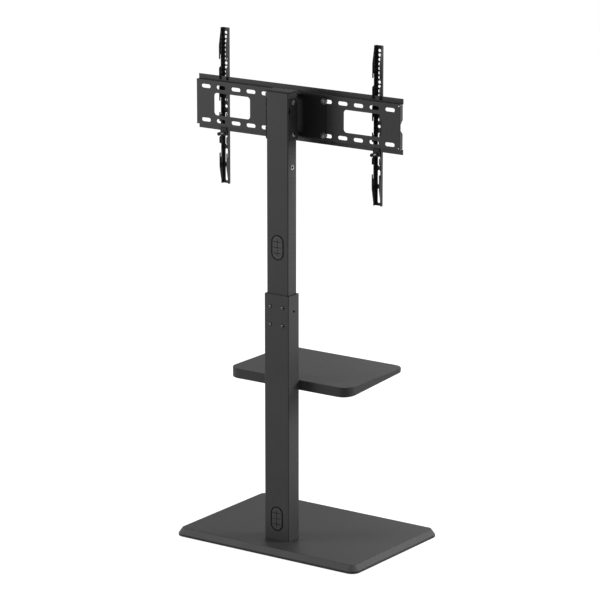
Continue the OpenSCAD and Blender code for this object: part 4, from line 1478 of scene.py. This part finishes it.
@dataclass
class ScreenArm:
    """One screen arm with its lock: channel, nut, clip, screw and sleeve."""

    side: str
    x: float
    lock_z: float = 1114.0
    tip_y: float = 15.1
    nut_y: float = 14.8
    sleeve_y: float = 29.6
    sleeve_len: float = 17.0

    def build(self) -> None:
        """Makes every piece of the arm."""
        s, sleeve_y, long = self.side, self.sleeve_y, self.sleeve_len
        arm, clip, lock = (Body(f"{s}_{what}") for what in ("arm", "clip", "lock"))
        nut_at, head_at, sleeve_at = (Lay.BACKWARD.at(self.x, y, self.lock_z)
                                      for y in (self.nut_y, sleeve_y + long, sleeve_y))
        screw = Screw(HeadStyle.CYLINDER, 5.0, 5.0, 2.5, sleeve_y + long - self.tip_y, 15.0, 0.8)
        carried(f"arm_{s}", f"arm_channel_{s}", Finishes.ARM, arm, 0.25,
                (Bend(2, 1.7, least=20.0, front_of=13.6),))
        Blank().turn(Nut(4.0, 5.0, 2.58).rings(), nut_at, closed=True).made(
            f"weld_nut_{s}", Finishes.STEEL, arm, f"lock_nut_{s}")
        carried(f"lock_clip_{s}", f"clip_plate_{s}", Finishes.BRACKET, clip)
        Blank().turn(screw.rings(), head_at, wear_and_highlight=(2, 3, 5)).made(
            f"lock_bolt_{s}", Finishes.LOCK, lock, f"lock_screw_{s}")
        Blank().turn(washer(3.5, 2.5, long), sleeve_at, closed=True, wear_and_highlight=(1, 3)).made(
            f"spacer_{s}", Finishes.ZINC, lock, f"lock_sleeve_{s}")


# Studio

@dataclass
class Studio:
    """Pale floor, white surround, soft lamps and the camera at the photograph's angle."""

    floor_size: float = 14.0
    floor_z: float = -0.0002
    floor_glow: float = 0.94
    soft_light: float = 0.25
    middle: tuple[float, float, float] = (0.0, 0.0, 0.65)
    lens: float = 200.0
    eye: tuple[float, float, float] = (-5.0367, 7.2154, 2.8909)
    tilt: float = 75.86
    turn: float = 215.0

    def backdrop_share(self, look: Look) -> Wire:
        """Gives one on rays that see the background: camera, glossy and transmission rays.

        Args:
            look: The material or world that takes the node.

        Returns:
            One on those rays and nought on the others.
        """
        rays = look.node("ShaderNodeLightPath")
        seen = Wire(look, rays.outputs["Is Camera Ray"])
        for name in ("Is Glossy Ray", "Is Transmission Ray"):
            seen = look.out("ShaderNodeMath", 0, {"operation": "MAXIMUM"},
                            {0: seen, 1: Wire(look, rays.outputs[name])})
        return seen

    def floor(self) -> None:
        """Makes the floor, which looks white and keeps the object's shadow."""
        look = Look(bpy.data.materials.new("studio_floor"))
        grain = look.noise(900.0)
        lit, plain_lit = (look.out("ShaderNodeBsdfDiffuse", 0, None,
                                   {"Color": look.blend(grain, grey(low), grey(low + 4))})
                          for low in (148, 200))
        glow = look.out("ShaderNodeEmission", 0, None, {"Strength": self.floor_glow})
        bright = look.out("ShaderNodeAddShader", 0, None, {0: lit, 1: glow})
        surface = look.out("ShaderNodeMixShader", 0, None,
                           {0: self.backdrop_share(look), 1: plain_lit, 2: bright})
        look.node("ShaderNodeOutputMaterial", None, {"Surface": surface})
        mesh = bpy.data.meshes.new("studio_floor")
        a, z = self.floor_size / 2, self.floor_z
        mesh.from_pydata([(-a, -a, z), (a, -a, z), (a, a, z), (-a, a, z)], [], [(0, 1, 2, 3)])
        mesh.materials.append(look.owner)
        ground = bpy.data.objects.new("studio_floor", mesh)
        bpy.context.scene.collection.objects.link(ground)

    def surround(self) -> None:
        """Makes the white world, softer for the light that falls on the object."""
        world = bpy.data.worlds.new("studio_world")
        bpy.context.scene.world = world
        look = Look(world)
        soft, white = (look.out("ShaderNodeBackground", 0, None,
                                {"Color": (1, 1, 1, 1), "Strength": strength})
                       for strength in (self.soft_light, 1.0))
        both = look.out("ShaderNodeMixShader", 0, None,
                        {0: self.backdrop_share(look), 1: soft, 2: white})
        look.node("ShaderNodeOutputWorld", None, {"Surface": both})

    def lamp(self, name: str, place: tuple[float, float, float], size: float,
             power: float) -> None:
        """Makes one soft square lamp that faces the middle of the stand.

        Args:
            name: Name of the lamp.
            place: Where it hangs, in metres.
            size: Length of its side, in metres.
            power: Its power in watts.
        """
        data = bpy.data.lights.new(name, "AREA")
        data.size = size
        data.energy = power
        lamp = bpy.data.objects.new(name, data)
        lamp.location = place
        aim = Vector(self.middle) - Vector(place)
        lamp.rotation_euler = aim.to_track_quat("-Z", "Y").to_euler()
        bpy.context.scene.collection.objects.link(lamp)

    def camera(self) -> None:
        """Makes the camera."""
        data = bpy.data.cameras.new("camera")
        data.lens = self.lens
        data.sensor_width = 36.0
        camera = bpy.data.objects.new("camera", data)
        camera.location = self.eye
        camera.rotation_euler = (math.radians(self.tilt), 0.0, math.radians(self.turn))
        bpy.context.scene.collection.objects.link(camera)
        bpy.context.scene.camera = camera

    def build(self) -> None:
        """Makes the whole studio."""
        self.floor()
        self.surround()
        self.lamp("key_lamp", (2.8, 2.5, 1.4), 1.4, 102.0)
        self.lamp("side_lamp", (-3.3, -2.2, 1.7), 1.8, 175.0)
        self.lamp("front_lamp", (0.6, -3.2, 1.8), 2.0, 30.0)
        self.camera()
        bpy.context.scene.view_settings.view_transform = "Standard"


def plain(box: tuple[Vector, Vector]) -> list[list[float]]:
    """Turns a box's corners into plain lists of numbers."""
    return [list(corner) for corner in box]


def main() -> None:
    """Builds the stand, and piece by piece."""
    logging.basicConfig(level=logging.INFO, format="%(name)s: %(message)s")
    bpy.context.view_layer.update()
    for part in (Base(), LowerColumn(), Shelf(), UpperColumn(), Head(),
                 ScreenArm("left", 250.0), ScreenArm("right", -250.0)):
        LOG.info("building %s", type(part).__name__)
        part.build()
    Studio().build()


if __name__ == "__main__":
    main()
